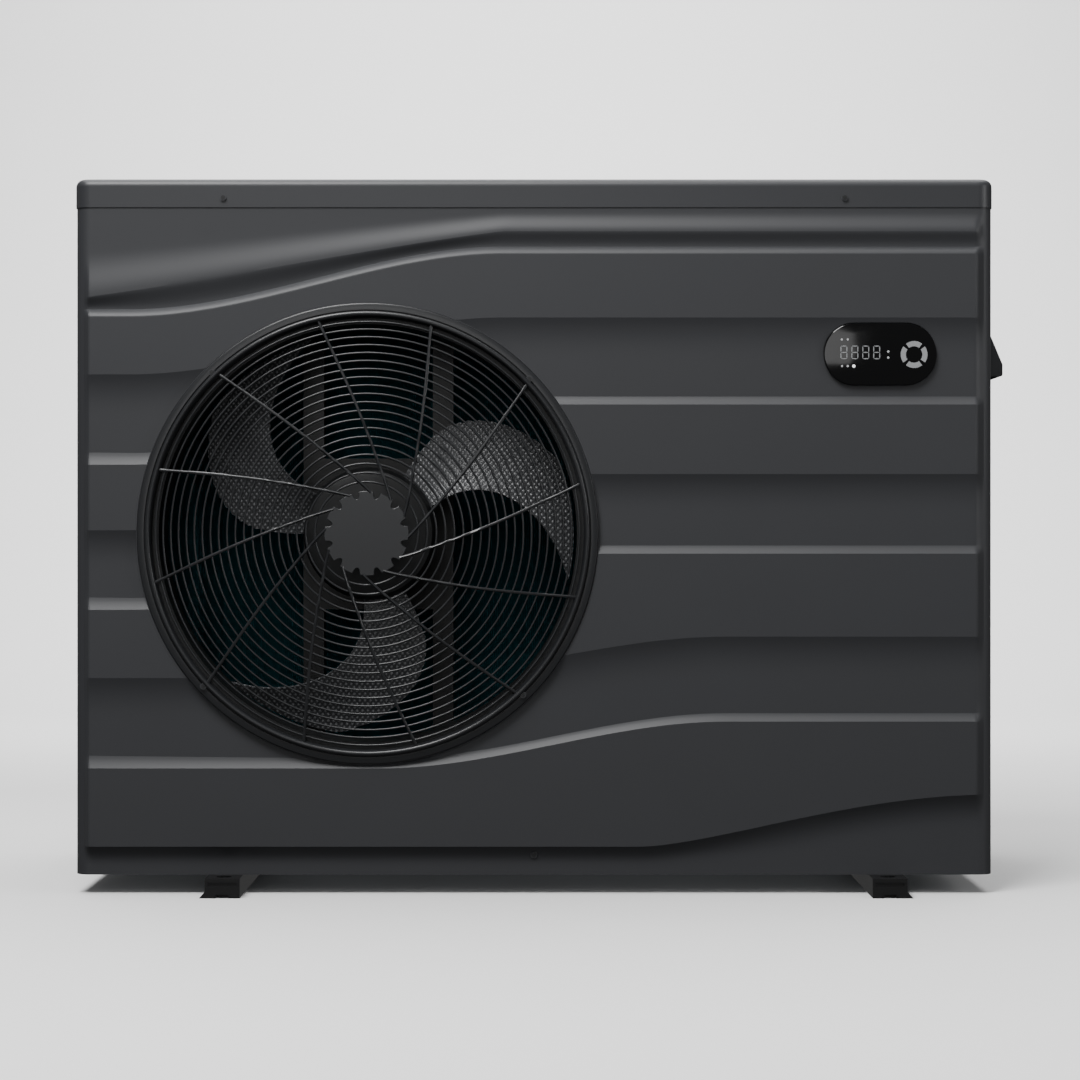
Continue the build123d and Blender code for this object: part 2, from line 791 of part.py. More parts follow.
def evaporator_plates():
    """The two end plates of the coil."""
    y0 = y_front + core_front_gap
    first = block(core_x0 - end_plate_lip, core_x0 + core_t + end_plate_lip, y0 - end_plate_t, y0,
                  z_floor, core_z1)
    second = block(core_x1, core_x1 + end_plate_t, core_y1 - core_t - end_plate_lip,
                   core_y1 + end_plate_lip, z_floor, core_z1)
    for z in (liquid_height(), gas_height()):
        second -= rod_x(core_x1, core_x1 + end_plate_t, core_mid_y, z, line_r + hole_gap)
    return [first, second]


def evaporator_bends():
    """Return bends of the coil, beside the partition."""
    bends = []
    x = core_x1 + end_plate_t
    count = int((core_z1 - z_floor - tube_pitch) / (2 * tube_pitch))
    half = Plane.XY * Pos(tube_pitch / 2, 0) * Circle(tube_r)
    bend = revolve(half, Axis.Y, revolution_arc=180)
    for column in (-1, 1):
        for k in range(count):
            z = z_floor + tube_pitch * (first_bend_share + 2 * k)
            bends.append(Pos(x, core_mid_y + column * tube_pitch / 2, z) * Rot(0, -90, 0) * bend)
    return bends


def comp_foot_places():
    return [(comp_x + comp_foot_r * math.cos(a), comp_y + comp_foot_r * math.sin(a))
            for a in (math.radians(90 + 120 * k) for k in range(3))]


def compressor():
    """Welded shell on a three-lobed foot plate."""
    plate = rod_z(comp_x, comp_y, comp_z, comp_z + comp_plate_t, comp_foot_r - grommet_r / 2)
    for x, y in comp_foot_places():
        plate += rod_z(x, y, comp_z, comp_z + comp_plate_t, grommet_r)
    body = rod_z(comp_x, comp_y, comp_z, comp_top, comp_r)
    body = fillet(body.edges().filter_by(GeomType.CIRCLE), comp_dome_r)
    body += plate
    for x, y in comp_foot_places():
        body -= rod_z(x, y, comp_z, comp_z + comp_plate_t, bolt_r + hole_gap)
    return body


def compressor_grommets():
    """Rubber mounts under the three feet."""
    return [rod_z(x, y, z_floor, comp_z, grommet_r) - rod_z(x, y, z_floor, comp_z, bolt_r + hole_gap)
            for x, y in comp_foot_places()]


def compressor_bolts():
    top = comp_z + comp_plate_t
    return [rod_z(x, y, z_floor, top, bolt_r) + rod_z(x, y, top, top + bolt_head_h, bolt_head_r)
            for x, y in comp_foot_places()]


def terminal_cover():
    """Cap over the compressor's terminals."""
    x = comp_x - cover_r / 2
    cover = rod_z(x, comp_y, comp_top, comp_top + cover_h, cover_r)
    return fillet(cover.edges().filter_by(GeomType.CIRCLE).sort_by(Axis.Z)[-1], cover_r / 4)


def accumulator():
    """Suction accumulator beside the compressor, on a short post."""
    body = rod_z(acc_x, acc_y, z_floor + acc_lift, acc_top, acc_r)
    body = fillet(body.edges().filter_by(GeomType.CIRCLE), acc_r / 2)
    return body + rod_z(acc_x, acc_y, z_floor, z_floor + acc_lift, acc_r / 3)


def four_way_valve():
    """Reversing valve body."""
    half = 2 * valve_stub
    body = rod_x(valve_x - half, valve_x + half, comp_y, valve_z, valve_r)
    return fillet(body.edges().filter_by(GeomType.CIRCLE), valve_r / 4)


def valve_solenoid():
    """Pilot coil in front of the reversing valve."""
    body = rod_y(valve_x, comp_y - valve_r - coil_len, comp_y - line_r - seam, valve_z, coil_r)
    return body - rod_x(valve_x - 2 * coil_r, valve_x + 2 * coil_r, comp_y, valve_z, valve_r)


def discharge_pipe():
    """From the compressor up to the reversing valve."""
    return tube([(valve_x, comp_y, comp_top), (valve_x, comp_y, valve_z)], line_r) - valve_body_cut()


def valve_body_cut():
    return rod_x(valve_x - 2 * valve_stub, valve_x + 2 * valve_stub, comp_y, valve_z, valve_r)


def evaporator_pipe():
    """From the valve, along the partition, to the coil."""
    x = valve_x - valve_stub
    z = gas_height()
    wall_x = partition_x + sheet_t + port_rise / 2
    route = [(x, comp_y, valve_z), (x, comp_y, z), (wall_x, comp_y, z), (wall_x, core_mid_y, z),
             (core_x1, core_mid_y, z)]
    return tube(route, line_r) - valve_body_cut()


def suction_pipe():
    """From the middle port over to the accumulator."""
    z = gas_height() + port_rise
    route = [(valve_x, comp_y, valve_z), (valve_x, comp_y, z), (valve_x, acc_y, z), (acc_x, acc_y, z),
             (acc_x, acc_y, acc_top)]
    return tube(route, line_r) - valve_body_cut()


def condenser_pipe():
    """From the right port to the top of the water heat exchanger's front."""
    x = valve_x + valve_stub
    z = gas_height()
    route = [(x, comp_y, valve_z), (x, comp_y, z), (shell_x, comp_y, z), (shell_x, shell_y, z)]
    return tube(route, line_r) - valve_body_cut() - shell_cylinder()


def liquid_pipe():
    """From the back of the water heat exchanger to the foot of the coil."""
    z = liquid_height()
    route = [(shell_x, shell_y, z), (shell_x, core_mid_y, z), (core_x1, core_mid_y, z)]
    return tube(route, line_r) - shell_cylinder()


def expansion_valve():
    """Valve body round the liquid line."""
    x = (partition_x + shell_x) / 2
    z = liquid_height()
    body = rod_x(x - expansion_len / 2, x + expansion_len / 2, core_mid_y, z, expansion_r)
    body += rod_z(x, core_mid_y, z, z + expansion_len, expansion_r)
    return body - rod_x(x - expansion_len, x + expansion_len, core_mid_y, z, line_r)


def shell_cylinder():
    return rod_z(shell_x, shell_y, shell_z, shell_z + shell_h, shell_r)


def exchanger_shell():
    """Plastic shell of the water heat exchanger, with its water ports."""
    shell = shell_cylinder() - rod_z(shell_x, shell_y, shell_z, shell_z + shell_h, shell_r - shell_wall)
    for z in (inlet_z, outlet_z):
        shell -= rod_y(shell_x, shell_y, shell_y + shell_r, z, water_r)
    return shell


def exchanger_caps():
    """The lid and the stand of the shell."""
    r = shell_r + shell_cap_over
    z0 = shell_z
    z1 = shell_z + shell_h
    top = rod_z(shell_x, shell_y, z1, z1 + shell_cap_h, r)
    top = fillet(top.edges().filter_by(GeomType.CIRCLE)[-1:], shell_cap_h / 2)
    stand = rod_z(shell_x, shell_y, z_floor, z0, r)
    return [top, stand]


def titanium_coil():
    """Refrigerant coil inside the shell."""
    radius = shell_r - shell_wall - coil_clear - coil_tube_r
    height = shell_h - 6 * coil_clear
    wire = Helix(height / coil_turns, height, radius)
    start = Plane(origin=wire @ 0, z_dir=wire % 0)
    coil = sweep(start * Circle(coil_tube_r), path=wire, is_frenet=True)
    return Pos(shell_x, shell_y, shell_z + 3 * coil_clear) * coil


def water_pipe(z):
    """Port pipe from the shell out through the rear panel, with a threaded end."""
    y1 = y_rear + thread_start + thread_len
    pipe = rod_y(shell_x, shell_y, y1, z, water_r + water_wall)
    pipe += rod_y(shell_x, y_rear + thread_start, y1, z, thread_r)
    return pipe - rod_y(shell_x, shell_y, y1, z, water_r) - shell_cylinder()


def water_inlet_pipe():
    return water_pipe(inlet_z) - paddle_slot()


def paddle_slot():
    half = paddle_w / 2 + panel_t
    return block(shell_x - half, shell_x + half, switch_mid_y - paddle_slot_back,
                 switch_mid_y + paddle_slot_front, inlet_z, paddle_z + paddle_hub_r + paddle_slot_front)


def flow_switch():
    """Housing saddled on the inlet pipe, with a chamber for the paddle's hinge."""
    z1 = inlet_z + water_r + water_wall + switch_h
    body = block(shell_x - switch_w / 2, shell_x + switch_w / 2, switch_mid_y - switch_d / 2,
                 switch_mid_y + switch_d / 2, inlet_z, z1)
    body -= rod_y(shell_x, switch_mid_y - switch_d, switch_mid_y + switch_d, inlet_z, water_r + water_wall)
    body -= paddle_slot()
    reach = switch_w / 2 - sheet_t / 2
    low = inlet_z + (water_r + water_wall) * saddle_share
    body -= block(shell_x - switch_w, shell_x + switch_w, switch_mid_y - switch_d,
                  switch_mid_y + switch_d, inlet_z, low)
    pin_r = paddle_pin_r + bearing_gap
    return body - rod_x(shell_x - reach, shell_x + reach, switch_mid_y, paddle_z, pin_r)


def flow_paddle():
    """Flat paddle on a pin, hanging in the water."""
    half = paddle_w / 2
    reach = switch_w / 2 - sheet_t
    paddle = block(shell_x - half, shell_x + half, switch_mid_y - paddle_t / 2, switch_mid_y + paddle_t / 2,
                   paddle_z - paddle_reach, paddle_z)
    paddle += rod_x(shell_x - half, shell_x + half, switch_mid_y, paddle_z, paddle_hub_r)
    return paddle + rod_x(shell_x - reach, shell_x + reach, switch_mid_y, paddle_z, paddle_pin_r)


def union_faces():
    """Y of the seal's far face and of the tailpiece's mouth."""
    y_seal = y_rear + thread_start + thread_len + seal_t
    return y_seal, y_seal + collar_t + socket_wall + socket_len


def union_seals():
    """Flat rings between the threaded ends and the tailpieces."""
    y1, _ = union_faces()
    return [rod_y(shell_x, y1 - seal_t, y1, z, collar_r) - rod_y(shell_x, y1 - seal_t, y1, z, water_r)
            for z in (inlet_z, outlet_z)]


def tailpiece(z):
    """Socket for a glued pool pipe, held by the union nut."""
    y0, y1 = union_faces()
    piece = rod_y(shell_x, y0, y0 + collar_t, z, collar_r)
    piece += rod_y(shell_x, y0, y1, z, socket_r + socket_wall)
    piece -= rod_y(shell_x, y0, y1, z, water_r)
    return piece - rod_y(shell_x, y1 - socket_len, y1, z, socket_r)


def union_nut(z):
    """Ribbed union nut over the thread and the tailpiece's collar."""
    y0 = y_rear + 3 * thread_start
    y_collar = union_faces()[0] + collar_t
    y1 = y_collar + nut_lip
    nut = rod_y(shell_x, y0, y1, z, nut_r)
    for k in range(nut_rib_count):
        turn = math.radians(360 / nut_rib_count * k)
        nut += rod_y(shell_x + nut_r * math.cos(turn), y0, y1, z + nut_r * math.sin(turn), panel_t)
    nut -= rod_y(shell_x, y0, y_collar, z, thread_r + nut_gap)
    return nut - rod_y(shell_x, y_collar, y1, z, socket_r + socket_wall + nut_gap)


def union_nuts():
    return [union_nut(z) for z in (inlet_z, outlet_z)]


def box_corners():
    z1 = z_roof - box_top
    y0 = y_front + box_front
    return partition_x + sheet_t + box_side, in_x1 - box_side / 2, y0, y0 + box_d, z1 - box_h, z1


def electrical_box():
    """Sheet tray for the electronics, open to the front, on a stay from the partition."""
    x0, x1, y0, y1, z0, z1 = box_corners()
    box = block(x0, x1, y0, y1, z0, z1)
    box -= block(x0 + box_t, x1 - box_t, y0, y1 - box_t, z0 + box_t, z1 - box_t)
    stay = block(partition_x + sheet_t, x0, y1 - box_t, y1, z0, z1)
    return box + stay


def electrical_cover():
    x0, x1, y0, _, z0, z1 = box_corners()
    return block(x0, x1, y0 - box_t, y0, z0, z1)


def control_board():
    """Main board with its larger components."""
    x0, x1, _, y1, z0, z1 = box_corners()
    margin = box_side / 2
    y = y1 - box_t
    board = block(x0 + margin, x1 - terminal_w - 2 * margin, y - board_t, y, z0 + margin, z1 - margin)
    for k in range(capacitor_count):
        x = x0 + margin + capacitor_pitch / 2 + capacitor_pitch * k
        board += rod_y(x, y - margin * 2, y - board_t, z1 - 3 * margin, capacitor_r)
    choke = block(x0 + 2 * margin, x0 + 5 * margin, y - margin * 2, y - board_t, z0 + 2 * margin,
                  z0 + 5 * margin)
    return board + choke


def terminal_block():
    """Row of mains terminals."""
    _, x1, _, y1, z0, _ = box_corners()
    margin = box_side / 2
    block_h = 2 * margin
    body = block(x1 - terminal_w - margin, x1 - margin, y1 - box_t - block_h, y1 - box_t, z0 + margin,
                 z0 + margin + block_h)
    pitch = terminal_w / terminal_ways
    for k in range(terminal_ways):
        x = x1 - terminal_w - margin + pitch * (k + 0.5)
        body -= rod_y(x, y1 - box_t - block_h, y1 - box_t - margin, z0 + 2 * margin, margin / 4)
    return body


def heat_sink():
    """Finned block on the partition, in the fan's air."""
    x1 = partition_x
    y0 = y_front + box_front + box_side / 2
    sink = block(x1 - sink_base, x1, y0, y0 + sink_d, sink_z - sink_h / 2, sink_z + sink_h / 2)
    step = (sink_d - sink_fin_t) / (sink_count - 1)
    for k in range(sink_count):
        y = y0 + step * k
        sink += block(x1 - sink_base - sink_fin, x1 - sink_base, y, y + sink_fin_t, sink_z - sink_h / 2,
                      sink_z + sink_h / 2)
    return sink


def cable_gland():
    """Gland for the supply cable, through the rear panel."""
    x, z = gland_place()
    outer = gland_r + gland_wall
    gland = rod_y(x, y_rear - gland_len / 3, y_rear + gland_len * 2 / 3, z, outer)
    gland += rod_y(x, y_rear, y_rear + gland_flange_t, z, gland_flange_r)
    gland += rod_y(x, y_rear - sheet_t - gland_flange_t, y_rear - sheet_t, z, gland_flange_r)
    return gland - rod_y(x, y_rear - gland_len, y_rear + gland_len, z, gland_r)


def display_lens():
    """Glossy oval that stands on the floor of the upper scoop."""
    return display_oval(0.0, y_scoop - display_t, y_scoop)


def display_housing():
    """Cup behind the lens."""
    cup = display_oval(0.0, y_back, y_back + display_cup)
    return cup - display_oval(-display_cup_t, y_back, y_back + display_cup - display_cup_t)


def display_board():
    y1 = y_back + display_cup - display_cup_t
    board = Rectangle(display_board_w, display_board_h)
    plane = front_plane(y1) * Pos(display_x, display_z)
    return extrude(plane * board, board_t)


def save(name, shape):
    """Write one node; a list becomes a group of separate solids."""
    solids = shape if isinstance(shape, list) else [shape]
    found = [solid for item in solids for solid in item.solids()]
    node = found[0] if len(found) == 1 else Compound(children=found)
    node.label = name
    export_step(node, os.path.join("parts", name + ".step"))


os.makedirs("parts", exist_ok=True)
sides = {"left": -1, "right": 1}
for side_name, side in sides.items():
    save("foot_rail_" + side_name, foot_rail(side))
    save("foot_caps_" + side_name, [foot_cap(side, end) for end in (-1, 1)])
save("base_pan", base_pan())
save("drain_spout", drain_spout())
save("front_panel", front_panel())
save("top_cover", top_cover())
save("panel_screws", panel_screws())
save("left_panel", left_panel())
save("right_panel", right_panel())
save("rear_panel", rear_panel())
save("rear_guard", rear_guard())
save("side_handle", side_handle())
save("fan_guard", fan_guard())
save("fan_shroud", fan_shroud())
save("fan_blades", fan_blades())
save("fan_nut", fan_nut())
save("motor_shaft", motor_shaft())
save("motor_rotor", motor_rotor())
save("fan_motor", fan_motor())
save("motor_bracket", motor_bracket())
save("motor_bolts", motor_bolts())
save("partition", partition())
save("evaporator_core", evaporator_core())
save("evaporator_plates", evaporator_plates())
save("evaporator_bends", evaporator_bends())
save("compressor", compressor())
save("compressor_grommets", compressor_grommets())
save("compressor_bolts", compressor_bolts())
save("terminal_cover", terminal_cover())
save("accumulator", accumulator())
save("four_way_valve", four_way_valve())
save("valve_solenoid", valve_solenoid())
save("discharge_pipe", discharge_pipe())
save("evaporator_pipe", evaporator_pipe())
save("suction_pipe", suction_pipe())
save("condenser_pipe", condenser_pipe())
save("liquid_pipe", liquid_pipe())
save("expansion_valve", expansion_valve())
save("exchanger_shell", exchanger_shell())
save("exchanger_caps", exchanger_caps())
save("titanium_coil", titanium_coil())
save("water_inlet_pipe", water_inlet_pipe())
save("water_outlet_pipe", water_pipe(outlet_z))
save("union_seals", union_seals())
save("union_nuts", union_nuts())
save("tailpiece_inlet", tailpiece(inlet_z))
save("tailpiece_outlet", tailpiece(outlet_z))
save("flow_switch", flow_switch())
save("flow_paddle", flow_paddle())
save("electrical_box", electrical_box())
save("electrical_cover", electrical_cover())
save("control_board", control_board())
save("terminal_block", terminal_block())
save("heat_sink", heat_sink())
save("cable_gland", cable_gland())
save("display_lens", display_lens())
save("display_housing", display_housing())
save("display_board", display_board())
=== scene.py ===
# %% [markdown]
# # A pool heat pump, from frame to finish
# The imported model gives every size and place. This lesson loads it, keeps the pieces whose shape is already
# right, and makes finer ones for what the eye rests on: the swept front panel, the fan guard, the fan, the
# finned coil, the touch display and the screws. Everything is in metres: front is -Y, right is +X, up is +Z.

# %% Load the frame
import bpy
import math
from mathutils import Matrix, Vector


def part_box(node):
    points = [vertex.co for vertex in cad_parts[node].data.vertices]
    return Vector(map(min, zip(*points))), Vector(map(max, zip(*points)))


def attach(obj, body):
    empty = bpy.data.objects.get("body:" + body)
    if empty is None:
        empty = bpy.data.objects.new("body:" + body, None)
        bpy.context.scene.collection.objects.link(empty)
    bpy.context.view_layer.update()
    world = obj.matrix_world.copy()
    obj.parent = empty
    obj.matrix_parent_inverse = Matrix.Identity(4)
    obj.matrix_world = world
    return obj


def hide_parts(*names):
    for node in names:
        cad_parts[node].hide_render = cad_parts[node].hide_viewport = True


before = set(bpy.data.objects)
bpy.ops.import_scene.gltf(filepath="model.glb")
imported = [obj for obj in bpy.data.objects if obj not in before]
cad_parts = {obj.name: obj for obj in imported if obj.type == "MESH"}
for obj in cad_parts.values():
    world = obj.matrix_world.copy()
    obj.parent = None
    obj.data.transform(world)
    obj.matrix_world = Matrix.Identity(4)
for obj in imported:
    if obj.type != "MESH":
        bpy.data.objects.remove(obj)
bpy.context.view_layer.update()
MM = 0.001

# %% [markdown]
# ## Places read from the frame
# A piece that is made here has to sit where the model says, so the numbers below come from the boxes of
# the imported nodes. The casing is the panel's box, and the fan's centre is the centre of the guard's box.

# %% Read the places
panel_low, panel_high = (Vector(c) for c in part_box("front_panel"))
lid_low = Vector(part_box("top_cover")[0])
guard_low, guard_high = (Vector(c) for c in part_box("fan_guard"))
lens_low, lens_high = (Vector(c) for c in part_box("display_lens"))
blades_low, blades_high = (Vector(c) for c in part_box("fan_blades"))
core_low, core_high = (Vector(c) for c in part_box("evaporator_core"))

LEFT, RIGHT = panel_low.x, panel_high.x
WIDTH = RIGHT - LEFT
SEAM, BASE = lid_low.z, panel_low.z
PANEL_H = SEAM - BASE
Y_PLATE = panel_low.y
PROUD_MM = 8.0
Y_FACE = Y_PLATE + PROUD_MM * MM
FAN = Vector(((guard_low.x + guard_high.x) / 2, 0, (guard_low.z + guard_high.z) / 2))
GUARD_R = (guard_high.x - guard_low.x) / 2
RIM_W = 15 * MM
HOLE_R = GUARD_R - RIM_W
FAN_R = 215 * MM
MID_X = (LEFT + RIGHT) / 2
FOOT_SCREW_Z = BASE + 20.5 * MM
UPRIGHT = (math.radians(90), 0, 0)
print(f"casing {WIDTH:.3f} wide, panel {PANEL_H:.3f} high, guard radius {GUARD_R:.4f}")

# %% [markdown]
# ## Small helpers
# An operator works on whatever is selected, and the loaded nodes are selected, so each step starts by
# deselecting. A finished piece keeps its object at the origin with its place in its mesh, so `settle`
# applies the move, the turn and the scale.

# %% Helpers for making a piece
def deselect():
    if bpy.context.object and bpy.context.object.mode != "OBJECT":
        bpy.ops.object.mode_set(mode="OBJECT")
    bpy.ops.object.select_all(action="DESELECT")


def pick(*objects):
    """Select these objects alone; the first is active."""
    deselect()
    for one in objects:
        one.select_set(True)
    bpy.context.view_layer.objects.active = objects[0]


def named(name):
    """The object that an operator just added, under a plain name."""
    made = bpy.context.object
    made.name = name
    made.data.name = name
    return made


def settle(piece):
    pick(piece)
    bpy.ops.object.transform_apply(location=True, rotation=True, scale=True)
    return piece


def apply_modifier(piece, kind, **settings):
    """Add a modifier, set it, and apply it."""
    pick(piece)
    added = piece.modifiers.new(kind.lower(), kind)
    for key, value in settings.items():
        setattr(added, key, value)
    bpy.ops.object.modifier_apply(modifier=added.name)
    return piece


def join(name, pieces):
    pick(*pieces)
    bpy.ops.object.join()
    return named(name)


def clean(piece):
    """Merge doubled points and turn every face outwards."""
    pick(piece)
    bpy.ops.object.mode_set(mode="EDIT")
    bpy.ops.mesh.select_all(action="SELECT")
    bpy.ops.mesh.remove_doubles(threshold=0.00001)
    bpy.ops.mesh.normals_make_consistent(inside=False)
    bpy.ops.object.mode_set(mode="OBJECT")
    return piece


def smooth(piece, degrees):
    pick(piece)
    bpy.ops.object.shade_smooth_by_angle(angle=math.radians(degrees))
    return piece


def copy_of(piece, name, matrix):
    """A copy with its own mesh, moved by a matrix."""
    twin = piece.copy()
    twin.data = piece.data.copy()
    twin.name = name
    bpy.context.collection.objects.link(twin)
    twin.data.transform(matrix)
    return twin


def turn_about_fan(degrees):
    """The matrix that turns a piece about the fan's axis, anticlockwise as seen from the front."""
    centre = Matrix.Translation(FAN)
    return centre @ Matrix.Rotation(math.radians(degrees), 4, (0, -1, 0)) @ centre.inverted()


def lathe(name, outline, steps, y=0.0):
    """Spin a closed outline of (radius, depth) points about the fan's axis."""
    deselect()
    bpy.ops.mesh.primitive_circle_add(vertices=len(outline), radius=0.01)
    ring = named(name)
    for point, (radius, depth) in zip(ring.data.vertices, outline):
        point.co = (FAN.x + radius, y + depth, FAN.z)
    bpy.ops.object.mode_set(mode="EDIT")
    bpy.ops.mesh.select_all(action="SELECT")
    bpy.ops.mesh.spin(steps=steps, angle=math.tau, center=FAN, axis=(0, 1, 0))
    bpy.ops.object.mode_set(mode="OBJECT")
    return clean(ring)


# %% [markdown]
# ## Colour and nodes
# Colours are picked as sRGB hex values, which Blender's shaders need as linear light. One function turns
# them, and one function adds a node with its settings and links.

# %% Helpers for materials
def linear(code):
    """An sRGB hex colour as linear red, green, blue and alpha."""
    parts = [int(code[k:k + 2], 16) / 255 for k in (1, 3, 5)]
    return tuple(v / 12.92 if v <= 0.04045 else ((v + 0.055) / 1.055) ** 2.4 for v in parts) + (1.0,)


def node(tree, kind, values=None, links=None, **settings):
    """Add a node: settings are its properties, values its sockets, links its inputs."""
    added = tree.nodes.new("ShaderNode" + kind)
    for key, value in settings.items():
        setattr(added, key, value)
    for key, value in (values or {}).items():
        added.inputs[key].default_value = value
    for key, source in (links or {}).items():
        tree.links.new(source, added.inputs[key])
    return added


def new_material(name):
    """A material with an empty tree, its Principled shader and its object coordinates."""
    made = bpy.data.materials.new(name)
    made.use_nodes = True
    tree = made.node_tree
    tree.nodes.clear()
    shader = node(tree, "BsdfPrincipled")
    node(tree, "OutputMaterial", links={"Surface": shader.outputs["BSDF"]})
    places = node(tree, "TexCoord")
    return made, tree, shader, places.outputs["Object"]


ROUGH_SPAN = 0.06


def grained(name, colour, rough, grain_mm, depth_mm, metallic=0.0, mottle=0.12, stretch=(1, 1, 1)):
    """A finish with a fine grain, a slow change of tone, and a roughness that wanders a little."""
    made, tree, shader, place = new_material(name)
    mapped = node(tree, "Mapping", {"Scale": stretch}, {"Vector": place})
    grain = node(tree, "TexNoise", {"Scale": 1 / (grain_mm * MM), "Detail": 3.0},
                 {"Vector": mapped.outputs["Vector"]})
    slow = node(tree, "TexNoise", {"Scale": 9.0, "Detail": 2.0}, {"Vector": place})
    base = linear(colour)
    dark = tuple(v * (1 - mottle) for v in base[:3]) + (1.0,)
    light = tuple(min(1.0, v * (1 + mottle)) for v in base[:3]) + (1.0,)
    tone = node(tree, "Mix", {"A": dark, "B": light}, {"Factor": slow.outputs["Fac"]}, data_type="RGBA")
    spread = node(tree, "MapRange", {"To Min": rough - ROUGH_SPAN, "To Max": rough + ROUGH_SPAN},
                  {"Value": grain.outputs["Fac"]})
    relief = node(tree, "Bump", {"Strength": 0.6, "Distance": depth_mm * MM},
                  {"Height": grain.outputs["Fac"]})
    tree.links.new(tone.outputs[2], shader.inputs["Base Color"])
    tree.links.new(spread.outputs["Result"], shader.inputs["Roughness"])
    tree.links.new(relief.outputs["Normal"], shader.inputs["Normal"])
    shader.inputs["Metallic"].default_value = metallic
    return made


# %% [markdown]
# ## The finishes
# The casing is moulded and powder-coated in anthracite: a satin grey with a faint orange-peel skin that
# breaks up the highlights. The guard and the fan are black moulded plastic, the fan with a dimpled face
# that quietens it. The coil's fins wear a blue-green coat against pool-side air. Steel that is out of the
# rain is galvanised, and the pipes are bare copper.

# %% Make the finishes
anthracite = grained("satin_anthracite_coat", "#313235", 0.5, 0.9, 0.012, mottle=0.05)
lid_coat = grained("satin_anthracite_lid_coat", "#313235", 0.42, 0.9, 0.012, mottle=0.05)
guard_black = grained("moulded_guard_plastic", "#222325", 0.3, 0.7, 0.006, mottle=0.06)
black_moulded = grained("moulded_black_plastic", "#151617", 0.45, 0.8, 0.02)
rubber = grained("black_rubber", "#0d0d0e", 0.42, 0.6, 0.02)
galvanised = grained("galvanised_sheet", "#8e9194", 0.42, 14.0, 0.01, metallic=0.85, mottle=0.16)
zinc = grained("zinc_plated_steel", "#9fa1a3", 0.35, 0.5, 0.01, metallic=1.0)
black_enamel = grained("black_enamel", "#0a0a0b", 0.34, 1.2, 0.01)
copper = grained("drawn_copper", "#b8734d", 0.32, 3.0, 0.01, metallic=1.0, mottle=0.2)
titanium = grained("drawn_titanium", "#8d8a86", 0.38, 3.0, 0.01, metallic=1.0)
brass = grained("machined_brass", "#b08d4c", 0.3, 0.8, 0.01, metallic=1.0)
aluminium = grained("extruded_aluminium", "#b4b6b8", 0.36, 0.8, 0.01, metallic=1.0, stretch=(1, 1, 0.05))
water_grey = grained("moulded_pipe_plastic", "#2a2c30", 0.4, 1.0, 0.02)
solder_mask = grained("green_solder_mask", "#14492c", 0.3, 1.5, 0.02, mottle=0.25)
fin_coat = grained("blue_green_fin_coat", "#4aa0ac", 0.4, 2.0, 0.02, metallic=0.3, mottle=0.15)
print("finishes:", len(bpy.data.materials))

# %% [markdown]
# ## The fan's dimpled plastic
# The blades carry rows of small diamond dimples. Two wave patterns crossed at an angle make the diamonds,
# and a bump node turns them into relief. The same pattern paints the crests a lighter grey, a painted
# highlight on the dimples. Their pitch is about 4 mm.

# %% Dimpled plastic
DIMPLE = 3.6


def dimpled_plastic_with_painted_highlight():
    made, tree, shader, place = new_material("dimpled_fan_plastic_painted_highlight")
    rows = []
    for angle in (38, -38):
        turned = node(tree, "Mapping", {"Rotation": (0, math.radians(angle), 0)}, {"Vector": place})
        rows.append(node(tree, "TexWave", {"Scale": 1 / (DIMPLE * MM) / math.tau * 1.6},
                         {"Vector": turned.outputs["Vector"]}, bands_direction="X"))
    crossed = node(tree, "Math", links={0: rows[0].outputs["Fac"], 1: rows[1].outputs["Fac"]},
                   operation="MULTIPLY")
    relief = node(tree, "Bump", {"Strength": 0.9, "Distance": 0.8 * MM}, {"Height": crossed.outputs["Value"]})
    # The crests' lighter grey is a painted highlight, not the plastic's own colour.
    tone = node(tree, "Mix", {"A": linear("#3c3d3f"), "B": linear("#77787a")},
                {"Factor": crossed.outputs["Value"]}, data_type="RGBA")
    tree.links.new(tone.outputs[2], shader.inputs["Base Color"])
    tree.links.new(relief.outputs["Normal"], shader.inputs["Normal"])
    shader.inputs["Roughness"].default_value = 0.27
    return made


fan_plastic = dimpled_plastic_with_painted_highlight()

# %% [markdown]
# ## The display's glass and its lights
# The lens is glossy black. Digits, icons and the touch ring glow faintly through it, so they are thin
# plates with an emissive finish, lit less at the ring's arcs and more at its four marks.

# %% Glass and lights
def glossy_lens():
    made, tree, shader, place = new_material("glossy_black_lens")
    smudge = node(tree, "TexNoise", {"Scale": 60.0, "Detail": 4.0}, {"Vector": place})
    spread = node(tree, "MapRange", {"To Min": 0.05, "To Max": 0.12}, {"Value": smudge.outputs["Fac"]})
    tree.links.new(spread.outputs["Result"], shader.inputs["Roughness"])
    shader.inputs["Base Color"].default_value = linear("#030304")
    return made


def glow(name, colour, strength):
    made, tree, shader, place = new_material(name)
    cells = node(tree, "TexNoise", {"Scale": 900.0}, {"Vector": place})
    tone = node(tree, "Mix", {"A": linear(colour), "B": linear("#ffffff")}, {"Factor": cells.outputs["Fac"]},
                data_type="RGBA")
    tree.links.new(tone.outputs[2], shader.inputs["Emission Color"])
    shader.inputs["Base Color"].default_value = linear(colour)
    shader.inputs["Emission Strength"].default_value = strength
    return made


lens_black = glossy_lens()
light_soft = glow("soft_light", "#8a8c8e", 0.1)
light_mid = glow("mid_light", "#a0a2a4", 0.3)
light_full = glow("full_light", "#e8eaec", 1.2)

# %% [markdown]
# ## The front panel
# The panel is one big moulding. Its relief is a family of lines that run level, sweep up like a wave, and
# run level again. Between them lie a soft swell, a proud plate and three scoops: a scoop drops from a crisp
# edge, flattens, and rises again over a short bevel. A grid whose rows follow the lines keeps every edge
# crisp, so a grid primitive is added and each point is placed by the formula of its row and column.

